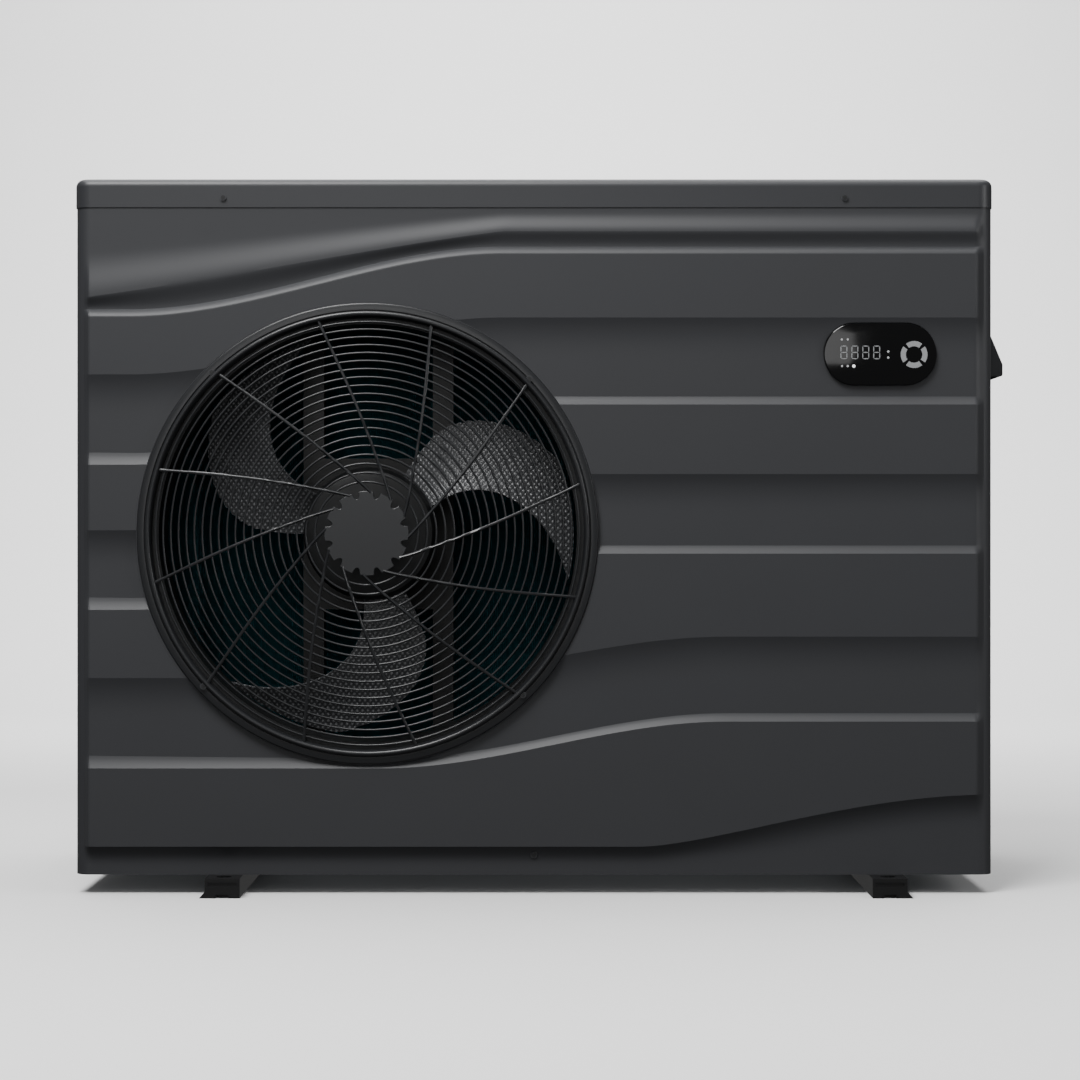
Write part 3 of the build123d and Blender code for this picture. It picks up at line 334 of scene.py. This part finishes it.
# %% The relief's lines, as depths below the seam in millimetres
PANEL_MM = PANEL_H / MM
RISE = (0.060, 0.466)
LOW_RISE = (0.332, 0.708)
TAIL_RISE = (0.616, 1.0)
STEP_LINE = (0.153, 0.059)
TAIL_LINE = (0.957, 0.879)
SWELL_START, SWELL_PEAK = (48.0, 5.0), (96.0, 25.5)
SCOOPS = [((0.251, 0.166), (0.386, 0.296), RISE), ((0.484, 0.400), (0.603, 0.519), RISE),
          ((0.705, 0.643), (0.840, 0.770), LOW_RISE)]


def ease(t):
    t = min(max(t, 0.0), 1.0)
    return t * t * (3 - 2 * t)


def swept(shares, span, u):
    """Depth of a line below the seam at u, a share of the width."""
    t = (u - span[0]) / (span[1] - span[0])
    return (shares[0] + (shares[1] - shares[0]) * ease(t)) * PANEL_MM


def ramp(left, right, u):
    """Depth of a line that runs straight down from the right to the left side."""
    t = min(u / RISE[1], 1.0)
    return left + (right - left) * (0.8 * t + 0.2 * ease(t))


# %% The rows of one column
SCOOP_MM, SWELL_MM, SWELL_LESS, GROOVE_MM = 4.5, 6.0, 1.2, 1.4
GROOVE_W, EDGE_W, CREASE_W = 0.6, 8.5, 1.0
SCOOP_FADE, BEVEL_W, BEVEL_LESS, TAIL_FADE = 46.0, 13.0, 4.5, 40.0


def round_over(f):
    """The rise of a rounded edge over a share of its width: steep at first, then level."""
    return 1 - (1 - f) ** 1.7


def stretch(start, end, heights, count):
    """Rows from start to end whose height follows a function of the share covered."""
    return [(start + (end - start) * k / count, heights(k / count)) for k in range(count)]


def rows_at(u):
    """All the (depth below the seam, height) rows of the column at u."""
    step = swept(STEP_LINE, RISE, u)
    tail_t = (u - TAIL_RISE[0]) / (TAIL_RISE[1] - TAIL_RISE[0])
    tail = (TAIL_LINE[0] + (TAIL_LINE[1] - TAIL_LINE[0]) * ease(max(tail_t, 0.0) ** 0.8)) * PANEL_MM
    start, peak = ramp(*SWELL_START, u), ramp(*SWELL_PEAK, u)
    swell = SWELL_MM - SWELL_LESS * min(u / RISE[1], 1.0)
    rows = stretch(0.0, start, lambda f: 0.0, 4)
    rows += stretch(start, peak, lambda f: swell * ease(f ** 1.1), 12)
    rows += stretch(peak, step - GROOVE_W,
                    lambda f: GROOVE_MM + (swell - GROOVE_MM) * (1 - ease(f ** 0.8)), 12)
    rows += stretch(step - GROOVE_W, step, lambda f: GROOVE_MM, 1)
    rows += stretch(step, step + EDGE_W, lambda f: GROOVE_MM + (PROUD_MM - GROOVE_MM) * round_over(f), 8)
    edge = step + EDGE_W
    for top, low, span in SCOOPS:
        t, b = swept(top, span, u), swept(low, span, u)
        fade = min(SCOOP_FADE, (b - t) * 0.5)
        bevel = BEVEL_W - BEVEL_LESS * min(u / RISE[1], 1.0)
        rows += stretch(edge, t - CREASE_W, lambda f: PROUD_MM, 4)
        rows += stretch(t - CREASE_W, t, lambda f: PROUD_MM, 1)
        rows += stretch(t, t + fade, lambda f: PROUD_MM - SCOOP_MM * (1 - (1 - f) ** 3), 10)
        rows += stretch(t + fade, b - bevel, lambda f: PROUD_MM - SCOOP_MM, 3)
        rows += stretch(b - bevel, b, lambda f: PROUD_MM - SCOOP_MM * (1 - f ** 1.3), 5)
        edge = b
    rows += stretch(edge, tail - CREASE_W, lambda f: PROUD_MM, 4)
    rows += stretch(tail - CREASE_W, tail, lambda f: PROUD_MM, 1)
    fade = min(TAIL_FADE, (PANEL_MM - tail) * 0.7)
    rows += stretch(tail, tail + fade, lambda f: PROUD_MM * (1 - f) ** 3.4, 14)
    rows += stretch(tail + fade, PANEL_MM, lambda f: 0.0, 3)
    return rows + [(PANEL_MM, 0.0)]


# %% The columns, from the left return round the front to the right return
CORNER, RETURN, RETURN_STEP, CORNER_STEPS = 15.0, 30.0, 2.5, 12
MIDDLE_COLUMNS = 118


def side_columns():
    """(distance in from the side, depth back from the face) of the columns round one side."""
    columns = [(0.0, RETURN - RETURN_STEP * k) for k in range(7)]
    for k in range(1, CORNER_STEPS + 1):
        turn = math.radians(90 / CORNER_STEPS * k)
        columns.append((CORNER * (1 - math.cos(turn)), CORNER * (1 - math.sin(turn))))
    return columns


def left_share(d):
    """Share of the relief at a distance from the left side."""
    return ease((d - 8) / 8)


def right_share(d):
    """Share of the relief at a distance from the right side, where it fades over a wider band."""
    return ease((d - 8.4) / 11)


def plan_columns():
    """(x, y, relief share, share of the width) of every column."""
    width = WIDTH / MM
    left = [(d, back, left_share(d)) for d, back in side_columns()]
    right = [(width - d, back, right_share(d)) for d, back in side_columns()]
    inner = [CORNER + 1.5 * k for k in range(1, 5)]
    first, last = CORNER + 8, width - CORNER - 8
    middle = [first + (last - first) * k / MIDDLE_COLUMNS for k in range(MIDDLE_COLUMNS + 1)]
    outer = [width - CORNER - 1.5 * k for k in range(4, 0, -1)]
    flat = [(d, 0.0, left_share(d) * right_share(width - d)) for d in inner + middle + outer]
    plan = left + flat + right[::-1]
    return [(LEFT + d * MM, Y_FACE + back * MM, share, d / width) for d, back, share in plan]


plan = plan_columns()
rows_count = len(rows_at(0.0))
print("panel grid:", len(plan), "columns by", rows_count, "rows")

# %% Add the grid and place its points
deselect()
bpy.ops.mesh.primitive_grid_add(x_subdivisions=len(plan) - 1, y_subdivisions=rows_count - 1, size=2)
panel = named("front_panel_moulding")
profiles = [rows_at(share) for _, _, _, share in plan]
for point in panel.data.vertices:
    i = round((point.co.x + 1) / 2 * (len(plan) - 1))
    j = round((1 - point.co.y) / 2 * (rows_count - 1))
    x, y, relief, _ = plan[i]
    depth, height = profiles[i][j]
    point.co = (x, y - height * MM * relief, SEAM - depth * MM)
apply_modifier(panel, "SOLIDIFY", thickness=2.5 * MM, offset=-1.0)
print("panel faces:", len(panel.data.polygons))

# %% [markdown]
# ## Openings in the panel
# A cylinder cuts the fan's opening and a stretched circle cuts the display's seat. Both are boolean cuts:
# the cutter is added, the modifier is applied, and the cutter is removed.

# %% Cut the openings
def cut(piece, tool):
    apply_modifier(piece, "BOOLEAN", operation="DIFFERENCE", object=tool, solver="EXACT")
    bpy.data.objects.remove(tool)


def stadium(name, half_w, half_h, y0, y1, segments=96):
    """An oval with straight sides about the display's centre, from depth y0 to y1."""
    deselect()
    bpy.ops.mesh.primitive_circle_add(vertices=segments, radius=half_h, fill_type="NGON",
                                      rotation=UPRIGHT)
    oval = settle(named(name))
    middle = (lens_low + lens_high) / 2
    slide = half_w - half_h
    for point in oval.data.vertices:
        side = 0.0 if abs(point.co.x) < 1e-6 else math.copysign(slide, point.co.x)
        point.co = (middle.x + point.co.x + side, y1, middle.z + point.co.z)
    bpy.ops.object.mode_set(mode="EDIT")
    bpy.ops.mesh.select_all(action="SELECT")
    bpy.ops.mesh.extrude_region_move(TRANSFORM_OT_translate={"value": (0, y0 - y1, 0)})
    bpy.ops.object.mode_set(mode="OBJECT")
    return clean(oval)


LENS_W = (lens_high.x - lens_low.x) / 2
LENS_H = (lens_high.z - lens_low.z) / 2
LENS_GAP = 0.6 * MM
deselect()
bpy.ops.mesh.primitive_cylinder_add(vertices=192, radius=HOLE_R, depth=0.1, location=(FAN.x, Y_FACE, FAN.z),
                                    rotation=UPRIGHT)
cut(panel, settle(named("fan_opening_cutter")))
cut(panel, stadium("display_cutter", LENS_W + LENS_GAP, LENS_H + LENS_GAP, Y_PLATE - 20 * MM,
                   lens_high.y + 0.4 * MM))
deselect()
bpy.ops.mesh.primitive_cylinder_add(vertices=32, radius=3.9 * MM, depth=0.1, rotation=UPRIGHT,
                                    location=(MID_X, Y_FACE, FOOT_SCREW_Z))
cut(panel, settle(named("foot_screw_cutter")))
smooth(panel, 9)
print("panel faces after the cuts:", len(panel.data.polygons))

# %% The seat that the guard's rim stands on
SEAT_R, SEAT_T = GUARD_R + 0.6 * MM, 6 * MM
seat = lathe("guard_seat", [(HOLE_R, 0.0), (SEAT_R, 0.0), (SEAT_R, SEAT_T), (HOLE_R, SEAT_T)], 192,
             Y_PLATE + 0.2 * MM)
smooth(seat, 30)
panel = join("front_panel_moulding", [panel, seat])
panel.data.materials.clear()
panel.data.materials.append(anthracite)
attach(panel, "casing")
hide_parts("front_panel")

# %% [markdown]
# ## The fan guard
# The guard is moulded in one piece: a rim with a rounded bead, twenty thin rings whose pitch closes a
# little towards the rim because the guard is domed, twelve spokes that sweep as they near the middle, and
# a flat hub disc with a small round notch beside each spoke's root.

# %% The dome and the rim
DOME = 15 * MM
WIRE = 1.15 * MM


def dome_y(radius):
    """Y of the guard's skin at a radius: highest in the middle, steepest near the rim."""
    share = min(radius / HOLE_R, 1.0)
    return Y_PLATE - 2 * MM - DOME * (1 - share ** 3)


BEAD_R, BEAD_AT = 2.6 * MM, HOLE_R + 3.4 * MM
BEAD_UP = 4 * MM
bead = [(BEAD_AT + BEAD_R * math.cos(math.radians(t)), -BEAD_UP - BEAD_R * math.sin(math.radians(t)))
        for t in range(180, -1, -20)]
rim_outline = [(HOLE_R - 0.4 * MM, 1 * MM), (HOLE_R - 0.4 * MM, -2 * MM)] + bead + [
    (BEAD_AT + BEAD_R + 0.2 * MM, -1.4 * MM), (BEAD_AT + BEAD_R + 1 * MM, -1.2 * MM),
    (BEAD_AT + BEAD_R + 1.4 * MM, -2.6 * MM), (GUARD_R - 2.2 * MM, -2.8 * MM),
    (GUARD_R - 0.9 * MM, -2.2 * MM), (GUARD_R, -0.6 * MM), (GUARD_R, 1 * MM)]
rim = smooth(lathe("guard_rim", rim_outline, 192, Y_PLATE), 35)

# %% The rings
parts = [rim]
RINGS, FIRST_R = 20, 53.5 * MM
LAST_R = HOLE_R - 5.2 * MM
for k in range(RINGS):
    share = k / (RINGS - 1)
    radius = FIRST_R + (LAST_R - FIRST_R) * (1.09 * share - 0.09 * share * share)
    deselect()
    bpy.ops.mesh.primitive_torus_add(location=(FAN.x, dome_y(radius), FAN.z), rotation=UPRIGHT,
                                     major_radius=radius, minor_radius=WIRE, major_segments=128,
                                     minor_segments=8)
    parts.append(smooth(settle(named(f"guard_ring_{k + 1}")), 60))
print("rings:", RINGS)

# %% The spokes
SPOKES, SPOKE_END, SPOKE_R = 12, 13.0, 1.75 * MM
SPOKE_COURSE = [(HOLE_R + 1 * MM, 0.0), (0.193, -2.2), (0.150, -6.5), (0.110, -12.5), (0.078, -21.0),
                (0.057, -33.0), (0.0475, -42.0), (0.0425, -49.0)]


def on_guard(radius, degrees, lift):
    """A point that stands off the guard's skin by a lift, at a radius and an angle."""
    turn = math.radians(degrees)
    return (FAN.x + radius * math.cos(turn), dome_y(radius) - lift, FAN.z + radius * math.sin(turn))


deselect()
bpy.ops.curve.primitive_nurbs_path_add()
course = named("guard_spoke")
line = course.data.splines[0]
line.points.add(len(SPOKE_COURSE) - len(line.points))
for point, (radius, degrees) in zip(line.points, SPOKE_COURSE):
    point.co = (*on_guard(radius, SPOKE_END + degrees, 1.0 * MM), 1.0)
line.order_u = 4
line.use_endpoint_u = True
line.resolution_u = 5
course.data.bevel_depth = SPOKE_R
course.data.bevel_resolution = 1
course.data.use_fill_caps = True
bpy.ops.object.convert(target="MESH")
spoke = smooth(clean(bpy.context.object), 60)
parts.append(spoke)
for k in range(1, SPOKES):
    parts.append(copy_of(spoke, f"guard_spoke_{k + 1}", turn_about_fan(360 / SPOKES * k)))

# %% The hub disc with its notches
HUB_R, HUB_PLATE_T = 44.0 * MM, 4 * MM
NOTCH_R, NOTCH_DEG, NOTCH_AT = 7.0 * MM, 5.0, 15.5


def hub_edge(degrees):
    """The disc's radius at an angle: a round notch is cut beside each spoke."""
    pitch = 360 / SPOKES
    off = (degrees - NOTCH_AT + pitch / 2) % pitch - pitch / 2
    if abs(off) >= NOTCH_DEG:
        return HUB_R
    return HUB_R - NOTCH_R * math.sqrt(1 - (off / NOTCH_DEG) ** 2)


deselect()
bpy.ops.mesh.primitive_circle_add(vertices=480, radius=HUB_R, fill_type="NGON", rotation=UPRIGHT)
hub = settle(named("guard_hub"))
for point in hub.data.vertices:
    angle = math.degrees(math.atan2(point.co.z, point.co.x))
    edge = hub_edge(angle)
    turn = math.radians(angle)
    point.co = (FAN.x + edge * math.cos(turn), dome_y(0) - 2 * MM, FAN.z + edge * math.sin(turn))
bpy.ops.object.mode_set(mode="EDIT")
bpy.ops.mesh.select_all(action="SELECT")
bpy.ops.mesh.extrude_region_move(TRANSFORM_OT_translate={"value": (0, HUB_PLATE_T, 0)})
bpy.ops.object.mode_set(mode="OBJECT")
clean(hub)
apply_modifier(hub, "BEVEL", width=0.7 * MM, segments=2, limit_method="ANGLE", angle_limit=math.radians(60))
smooth(hub, 20)
parts.append(hub)
guard = join("fan_guard_moulding", parts)
guard.data.materials.clear()
guard.data.materials.append(guard_black)
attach(guard, "casing")
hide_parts("fan_guard")
print("guard triangles:", sum(len(f.vertices) - 2 for f in guard.data.polygons))

# %% [markdown]
# ## The fan
# Each blade is a sickle. Its root sits on the hub, it sweeps forward as it nears the tip, and one long edge
# is cut into small teeth that quieten it. A grid is added and each of its points is placed by two shares:
# how far out it is, and how far across the blade.

# %% One blade
HUB_OUT, ROOT_IN, BLADE_T, CROWN = 70 * MM, 3 * MM, 2.4 * MM, 3 * MM
BLADES, TEETH, TEETH_FROM = 3, 34, 0.35
Y_FAN = (blades_low.y + blades_high.y) / 2
BLADE_ROWS, BLADE_COLUMNS = 96, 28


def blade_point(out, across):
    """A point of the first blade: out goes from root to tip, across from the front edge to the back."""
    radius = (HUB_OUT - ROOT_IN) + (FAN_R - HUB_OUT + ROOT_IN) * out
    front = 60 - 40 * out ** 2.6
    back = 35 - 48 * out ** 1.6 - 12 * (1 - out) ** 3
    tooth = 1.1 * (1 - abs((out * TEETH) % 2 - 1)) if out > TEETH_FROM else 0.0
    angle = math.radians(front + tooth + (back - front - tooth) * across)
    pitch = math.radians(32 - 15 * out)
    chord = radius * math.radians(front - back)
    y = Y_FAN - (across - 0.5) * chord * math.tan(pitch) * 0.62 + CROWN * math.sin(math.pi * across)
    y = min(max(y, blades_low.y + 1 * MM), blades_high.y - 1 * MM)
    return Vector((FAN.x + radius * math.cos(angle), y, FAN.z + radius * math.sin(angle)))


deselect()
bpy.ops.mesh.primitive_grid_add(x_subdivisions=BLADE_ROWS, y_subdivisions=BLADE_COLUMNS, size=2)
blade = named("fan_blade")
for point in blade.data.vertices:
    point.co = blade_point((point.co.x + 1) / 2, (point.co.y + 1) / 2)
apply_modifier(blade, "SOLIDIFY", thickness=BLADE_T, offset=0.0)
smooth(clean(blade), 35)

# %% The hub, the other blades and the joined fan
hub_front, hub_back = blades_low.y, blades_high.y
BORE_R, BOSS_R = 7 * MM, 15 * MM
hub_outline = [(BORE_R, hub_front), (HUB_OUT - 12 * MM, hub_front), (HUB_OUT - 4 * MM, hub_front + 2.5 * MM),
               (HUB_OUT, hub_front + 9 * MM), (HUB_OUT, hub_back), (HUB_OUT - 5 * MM, hub_back),
               (HUB_OUT - 5 * MM, hub_front + 10 * MM), (HUB_OUT - 14 * MM, hub_front + 5 * MM),
               (BOSS_R, hub_front + 5 * MM), (BOSS_R, hub_back), (BORE_R, hub_back)]
fan_hub = smooth(lathe("fan_hub", hub_outline, 96), 35)
fan_hub.data.materials.append(black_moulded)
blade.data.materials.append(fan_plastic)
fan_parts = [blade, fan_hub]
for k in range(1, BLADES):
    fan_parts.append(copy_of(blade, f"fan_blade_{k + 1}", turn_about_fan(360 / BLADES * k)))
fan = join("fan_moulding", fan_parts)
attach(fan, "fan")
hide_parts("fan_blades")
print("fan triangles:", sum(len(f.vertices) - 2 for f in fan.data.polygons))

# %% [markdown]
# ## The coil's fins
# A coil is hundreds of thin corrugated fins pressed on copper tubes. One fin is a narrow grid folded into
# waves and given a wall; array modifiers repeat it along the back and the side, and spin copies it round
# the corner. The fins stand 2.4 mm apart.

# %% One fin and its repeats
PITCH, CORE_T, BEND_R = 2.4 * MM, 40 * MM, 60 * MM
FOLDS, FOLD, FIN_T = 6, 1.35 * MM, 0.25 * MM


def fin(name, x, y0, y1):
    """A corrugated strip from y0 to y1 at x, as high as the coil."""
    deselect()
    bpy.ops.mesh.primitive_grid_add(x_subdivisions=FOLDS, y_subdivisions=1, size=2)
    strip = named(name)
    for point in strip.data.vertices:
        share = (point.co.x + 1) / 2
        fold = FOLD * (1 if round(share * FOLDS) % 2 else -1)
        top = core_high.z if point.co.y > 0 else core_low.z
        point.co = (x + fold, y0 + (y1 - y0) * share, top)
    apply_modifier(strip, "SOLIDIFY", thickness=FIN_T, offset=0.0)
    return strip


back_y0, back_y1 = core_high.y - CORE_T, core_high.y
corner = Vector((core_low.x + CORE_T + BEND_R, core_high.y - CORE_T - BEND_R, 0))
back_run = core_high.x - corner.x
rear_fins = fin("rear_fins", corner.x, back_y0, back_y1)
apply_modifier(rear_fins, "ARRAY", count=int(back_run / PITCH), use_relative_offset=False,
               use_constant_offset=True, constant_offset_displace=(PITCH, 0, 0))
corner_fins = fin("corner_fins", corner.x, back_y0, back_y1)
steps = int(math.pi / 2 * (BEND_R + CORE_T / 2) / PITCH)
bpy.ops.object.mode_set(mode="EDIT")
bpy.ops.mesh.select_all(action="SELECT")
bpy.ops.mesh.spin(steps=steps, dupli=True, angle=-math.pi / 2, center=corner, axis=(0, 0, 1))
bpy.ops.object.mode_set(mode="OBJECT")
side_run = corner.y - core_low.y
side_fins = fin("side_fins", corner.x, back_y0, back_y1)
side_fins.data.transform(Matrix.Translation(corner) @ Matrix.Rotation(math.pi / 2, 4, "Z")
                         @ Matrix.Translation(-corner))
apply_modifier(side_fins, "ARRAY", count=int(side_run / PITCH), use_relative_offset=False,
               use_constant_offset=True, constant_offset_displace=(0, -PITCH, 0))
coil = join("coil_fins", [rear_fins, corner_fins, side_fins])
coil.data.materials.clear()
coil.data.materials.append(fin_coat)
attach(coil, "casing")
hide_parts("evaporator_core")
print("fins:", int(back_run / PITCH) + steps + int(side_run / PITCH))

# %% [markdown]
# ## The touch display
# A glossy oval with rounded edges. Its lit marks are thin plates that stand a hair proud of the lens: four
# plain seven-segment digits, small round icons and a ring of four arcs.

# %% The lens
lens = stadium("display_lens_moulding", LENS_W, LENS_H, lens_low.y, lens_high.y)
apply_modifier(lens, "BEVEL", width=1.6 * MM, segments=4, limit_method="ANGLE", angle_limit=math.radians(60))
smooth(lens, 20)
lens.data.materials.append(lens_black)
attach(lens, "casing")
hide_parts("display_lens")

# %% The lit marks
DISPLAY = (lens_low + lens_high) / 2
Y_MARK = lens_low.y - 0.15 * MM
MARK_T = 0.1 * MM
FIRST_DIGIT, DIGIT_PITCH, DIGIT_Z = -38.0, 11.4, 1.7
BAR_LONG, BAR_TALL, BAR_W = 6.2, 6.6, 1.1
RING_X, RING_Z, RING_MID, RING_HALF, ARC_HALF = 35.2, -0.5, 11.3, 2.7, 37


def mark(name, x, z, width, height, corners, glow_material):
    """A flat plate of a few corners, centred at x and z millimetres from the display's centre."""
    deselect()
    bpy.ops.mesh.primitive_circle_add(vertices=corners, radius=0.5, fill_type="NGON",
                                      rotation=UPRIGHT)
    plate = named(name)
    plate.scale = (width * MM, height * MM, 1)
    plate.location = (DISPLAY.x + x * MM, Y_MARK, DISPLAY.z + z * MM)
    settle(plate)
    bpy.ops.object.mode_set(mode="EDIT")
    bpy.ops.mesh.select_all(action="SELECT")
    bpy.ops.mesh.extrude_region_move(TRANSFORM_OT_translate={"value": (0, MARK_T, 0)})
    bpy.ops.object.mode_set(mode="OBJECT")
    clean(plate)
    plate.data.materials.append(glow_material)
    return plate


def digit(name, x, z):
    """Seven thin bars in a figure of eight."""
    w, h, t = BAR_LONG, BAR_TALL, BAR_W
    bars = [(0, h, w, t), (0, 0, w, t), (0, -h, w, t), (-w / 2, h / 2, t, h), (w / 2, h / 2, t, h),
            (-w / 2, -h / 2, t, h), (w / 2, -h / 2, t, h)]
    return [mark(f"{name}_{k}", x + bx, z + bz, bw, bh, 6, light_soft)
            for k, (bx, bz, bw, bh) in enumerate(bars)]


marks = []
for k in range(4):
    marks += digit(f"digit_{k + 1}", FIRST_DIGIT + DIGIT_PITCH * k, DIGIT_Z)
ICONS = [(-40.2, 15.2, 2.2, light_mid), (-34.0, 15.2, 2.2, light_mid), (-40.0, -12.6, 2.2, light_mid),
         (-34.0, -12.6, 2.4, light_mid), (-27.7, -12.6, 3.2, light_full), (8.2, 2.6, 2.4, light_mid),
         (8.2, -3.7, 2.4, light_mid)]
for x, z, size, finish in ICONS:
    marks.append(mark("icon", x, z, size, size, 16, finish))


def ring_arc(name, degrees):
    """A quarter of the touch ring: a grid bent round the ring's centre."""
    deselect()
    bpy.ops.mesh.primitive_grid_add(x_subdivisions=16, y_subdivisions=1, size=2)
    arc = named(name)
    for point in arc.data.vertices:
        turn = math.radians(degrees + ARC_HALF * point.co.x)
        radius = (RING_MID + RING_HALF * point.co.y) * MM
        point.co = (DISPLAY.x + RING_X * MM + radius * math.cos(turn), Y_MARK,
                    DISPLAY.z + RING_Z * MM + radius * math.sin(turn))
    apply_modifier(arc, "SOLIDIFY", thickness=MARK_T, offset=0.0)
    arc.data.materials.append(light_soft)
    return arc


for k in range(4):
    marks.append(ring_arc(f"ring_arc_{k + 1}", 90 * k))
    turn = math.radians(90 * k)
    marks.append(mark("ring_mark", RING_X + RING_MID * math.cos(turn), RING_Z + RING_MID * math.sin(turn),
                      2.8, 2.8, 3, light_mid))
lit = join("display_marks", marks)
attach(lit, "casing")
print("lit marks:", len(marks))

# %% [markdown]
# ## The screws' sockets, as painted shade
# The lid's two screws, the foot screw and the guard's four are coated like the casing. Each socket is a thin
# flat black hexagon on the head, a painted shade that stands in for the shaded hollow of a real socket.

# %% The sockets' painted shade
# A thin black hexagon proud of the head: painted shade where a real socket's hollow is dark.
def painted_socket_shade(name, x, y, z):
    deselect()
    bpy.ops.mesh.primitive_cylinder_add(vertices=6, radius=2.5 * MM, depth=0.4 * MM, location=(x, y, z),
                                        rotation=UPRIGHT)
    return settle(named(name))


SCREW_FRONT, LID_SCREW_IN, LID_SCREW_UP = 2.1 * MM, 155 * MM, 10 * MM
GUARD_SCREWS_AT = (43.7, 134.0, 223.0, 314.0)
socket_shades = [painted_socket_shade("lid_socket_shade", x, lid_low.y - SCREW_FRONT, SEAM + LID_SCREW_UP)
           for x in (LEFT + LID_SCREW_IN, RIGHT - LID_SCREW_IN)]
socket_shades.append(painted_socket_shade("foot_socket_shade", MID_X, Y_FACE - SCREW_FRONT, FOOT_SCREW_Z))
for degrees in GUARD_SCREWS_AT:
    turn, reach = math.radians(degrees), GUARD_R - RIM_W / 2
    socket_shades.append(painted_socket_shade("guard_socket_shade", FAN.x + reach * math.cos(turn), Y_PLATE - 3 * MM - SCREW_FRONT,
                          FAN.z + reach * math.sin(turn)))
socket_shades = join("screw_socket_shades", socket_shades)
socket_shades.data.materials.append(black_moulded)
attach(socket_shades, "casing")

# %% [markdown]
# ## Finishes on the pieces that stay as they are
# The lid, the panels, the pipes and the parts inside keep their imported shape, and each gets the finish of
# the real piece.

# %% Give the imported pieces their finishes
FINISHES = {
    "lid": (lid_coat, ["top_cover", "left_panel", "right_panel", "rear_panel", "side_handle"]),
    "moulded": (black_moulded, ["fan_shroud", "rear_guard", "terminal_cover", "valve_solenoid",
                                "flow_switch", "flow_paddle", "terminal_block", "cable_gland",
                                "display_housing", "drain_spout"]),
    "galvanised": (galvanised, ["base_pan", "partition", "evaporator_plates", "electrical_box",
                                "electrical_cover"]),
    "rubber": (rubber, ["foot_caps_left", "foot_caps_right", "compressor_grommets", "union_seals"]),
    "zinc": (zinc, ["fan_nut", "motor_shaft", "motor_rotor", "motor_bolts", "compressor_bolts"]),
    "screws": (lid_coat, ["panel_screws"]),
    "enamel": (black_enamel, ["fan_motor", "motor_bracket", "compressor", "accumulator", "foot_rail_left",
                              "foot_rail_right"]),
    "copper": (copper, ["evaporator_bends", "discharge_pipe", "evaporator_pipe", "suction_pipe",
                        "condenser_pipe", "liquid_pipe"]),
    "titanium": (titanium, ["titanium_coil"]),
    "brass": (brass, ["four_way_valve", "expansion_valve"]),
    "water": (water_grey, ["exchanger_shell", "exchanger_caps", "water_inlet_pipe", "water_outlet_pipe",
                           "union_nuts", "tailpiece_inlet", "tailpiece_outlet"]),
    "board": (solder_mask, ["control_board", "display_board"]),
    "aluminium": (aluminium, ["heat_sink"]),
}
for finish, names in FINISHES.values():
    for name in names:
        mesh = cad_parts[name].data
        mesh.materials.clear()
        mesh.materials.append(finish)
print("finished packed pieces:", sum(len(names) for _, names in FINISHES.values()))

# %% [markdown]
# ## The studio
# A pale sweep of floor curves up behind. One broad lamp high at the left brings out the relief, a weaker
# one in front reaches the fan, and a small one at the right catches the edge. Two more light the floor and
# the backdrop, under an even pale sky. The floor throws no light back, as in a studio where black cards
# stand before the set, so faces that look down stay dark and the relief reads.

# %% Floor, lamps and sky, in metres and watts
FLOOR_LONG, FLOOR_HALF_W, SWEEP_FROM, SWEEP_R, WALL_RISE = 16, 12, 3, 2, 6
FLOOR_GAP = 0.2 * MM
deselect()
bpy.ops.mesh.primitive_grid_add(x_subdivisions=2, y_subdivisions=60, size=2)
floor = named("studio_floor")
for point in floor.data.vertices:
    s = (point.co.y + 1) / 2
    run = s * FLOOR_LONG - FLOOR_LONG / 2
    if run < SWEEP_FROM:
        y, z = run, 0.0
    else:
        turn = min((run - SWEEP_FROM) / SWEEP_R, math.pi / 2)
        y = SWEEP_FROM + SWEEP_R * math.sin(turn)
        z = SWEEP_R * (1 - math.cos(turn)) + max(run - SWEEP_FROM - SWEEP_R * math.pi / 2, 0) * WALL_RISE
    point.co = (point.co.x * FLOOR_HALF_W, y, z - FLOOR_GAP)
smooth(floor, 60)
floor.data.materials.append(grained("studio_paper", "#f4f4f4", 0.8, 20, 0.0001, mottle=0.01))
floor.visible_diffuse = False
floor.visible_glossy = False


def lamp(name, place, target, size, power):
    """A square lamp of a size in metres and a power in watts, turned to its target."""
    deselect()
    bpy.ops.object.light_add(type="AREA", location=place)
    added = bpy.context.object
    added.name = name
    added.data.size = size
    added.data.energy = power
    aim = Vector(target) - Vector(place)
    added.rotation_euler = aim.to_track_quat("-Z", "Y").to_euler()


lamp("key_lamp", (-0.9, -1.85, 3.1), (-0.1, -0.2, 0.35), 1.5, 140)
lamp("front_lamp", (-0.5, -4.4, 1.3), (-0.1, 0, 0.35), 1.6, 17)
lamp("edge_lamp", (2.3, -1.5, 1.0), (0.4, -0.2, 0.4), 0.8, 12)
lamp("floor_lamp", (0, 1.4, 3.9), (0, 1.6, 0), 4.5, 230)
lamp("backdrop_lamp", (0, 2.4, 2.6), (0, 5.0, 1.2), 2.5, 150)
world = bpy.data.worlds.new("studio_sky")
bpy.context.scene.world = world
world.use_nodes = True
sky = world.node_tree.nodes["Background"]
sky.inputs["Color"].default_value = (1, 1, 1, 1)
sky.inputs["Strength"].default_value = 0.15

# %% The camera
EYE_SIDE, EYE_BACK, EYE_Z = 6.3 * MM, 2.992, 0.370
EYE = Vector((MID_X + EYE_SIDE, Y_PLATE - EYE_BACK, EYE_Z))
bpy.ops.object.camera_add(location=EYE, rotation=UPRIGHT)
camera = bpy.context.object
camera.name = "studio_camera"
camera.data.lens = 95.6
camera.data.sensor_width = 36
bpy.context.scene.camera = camera
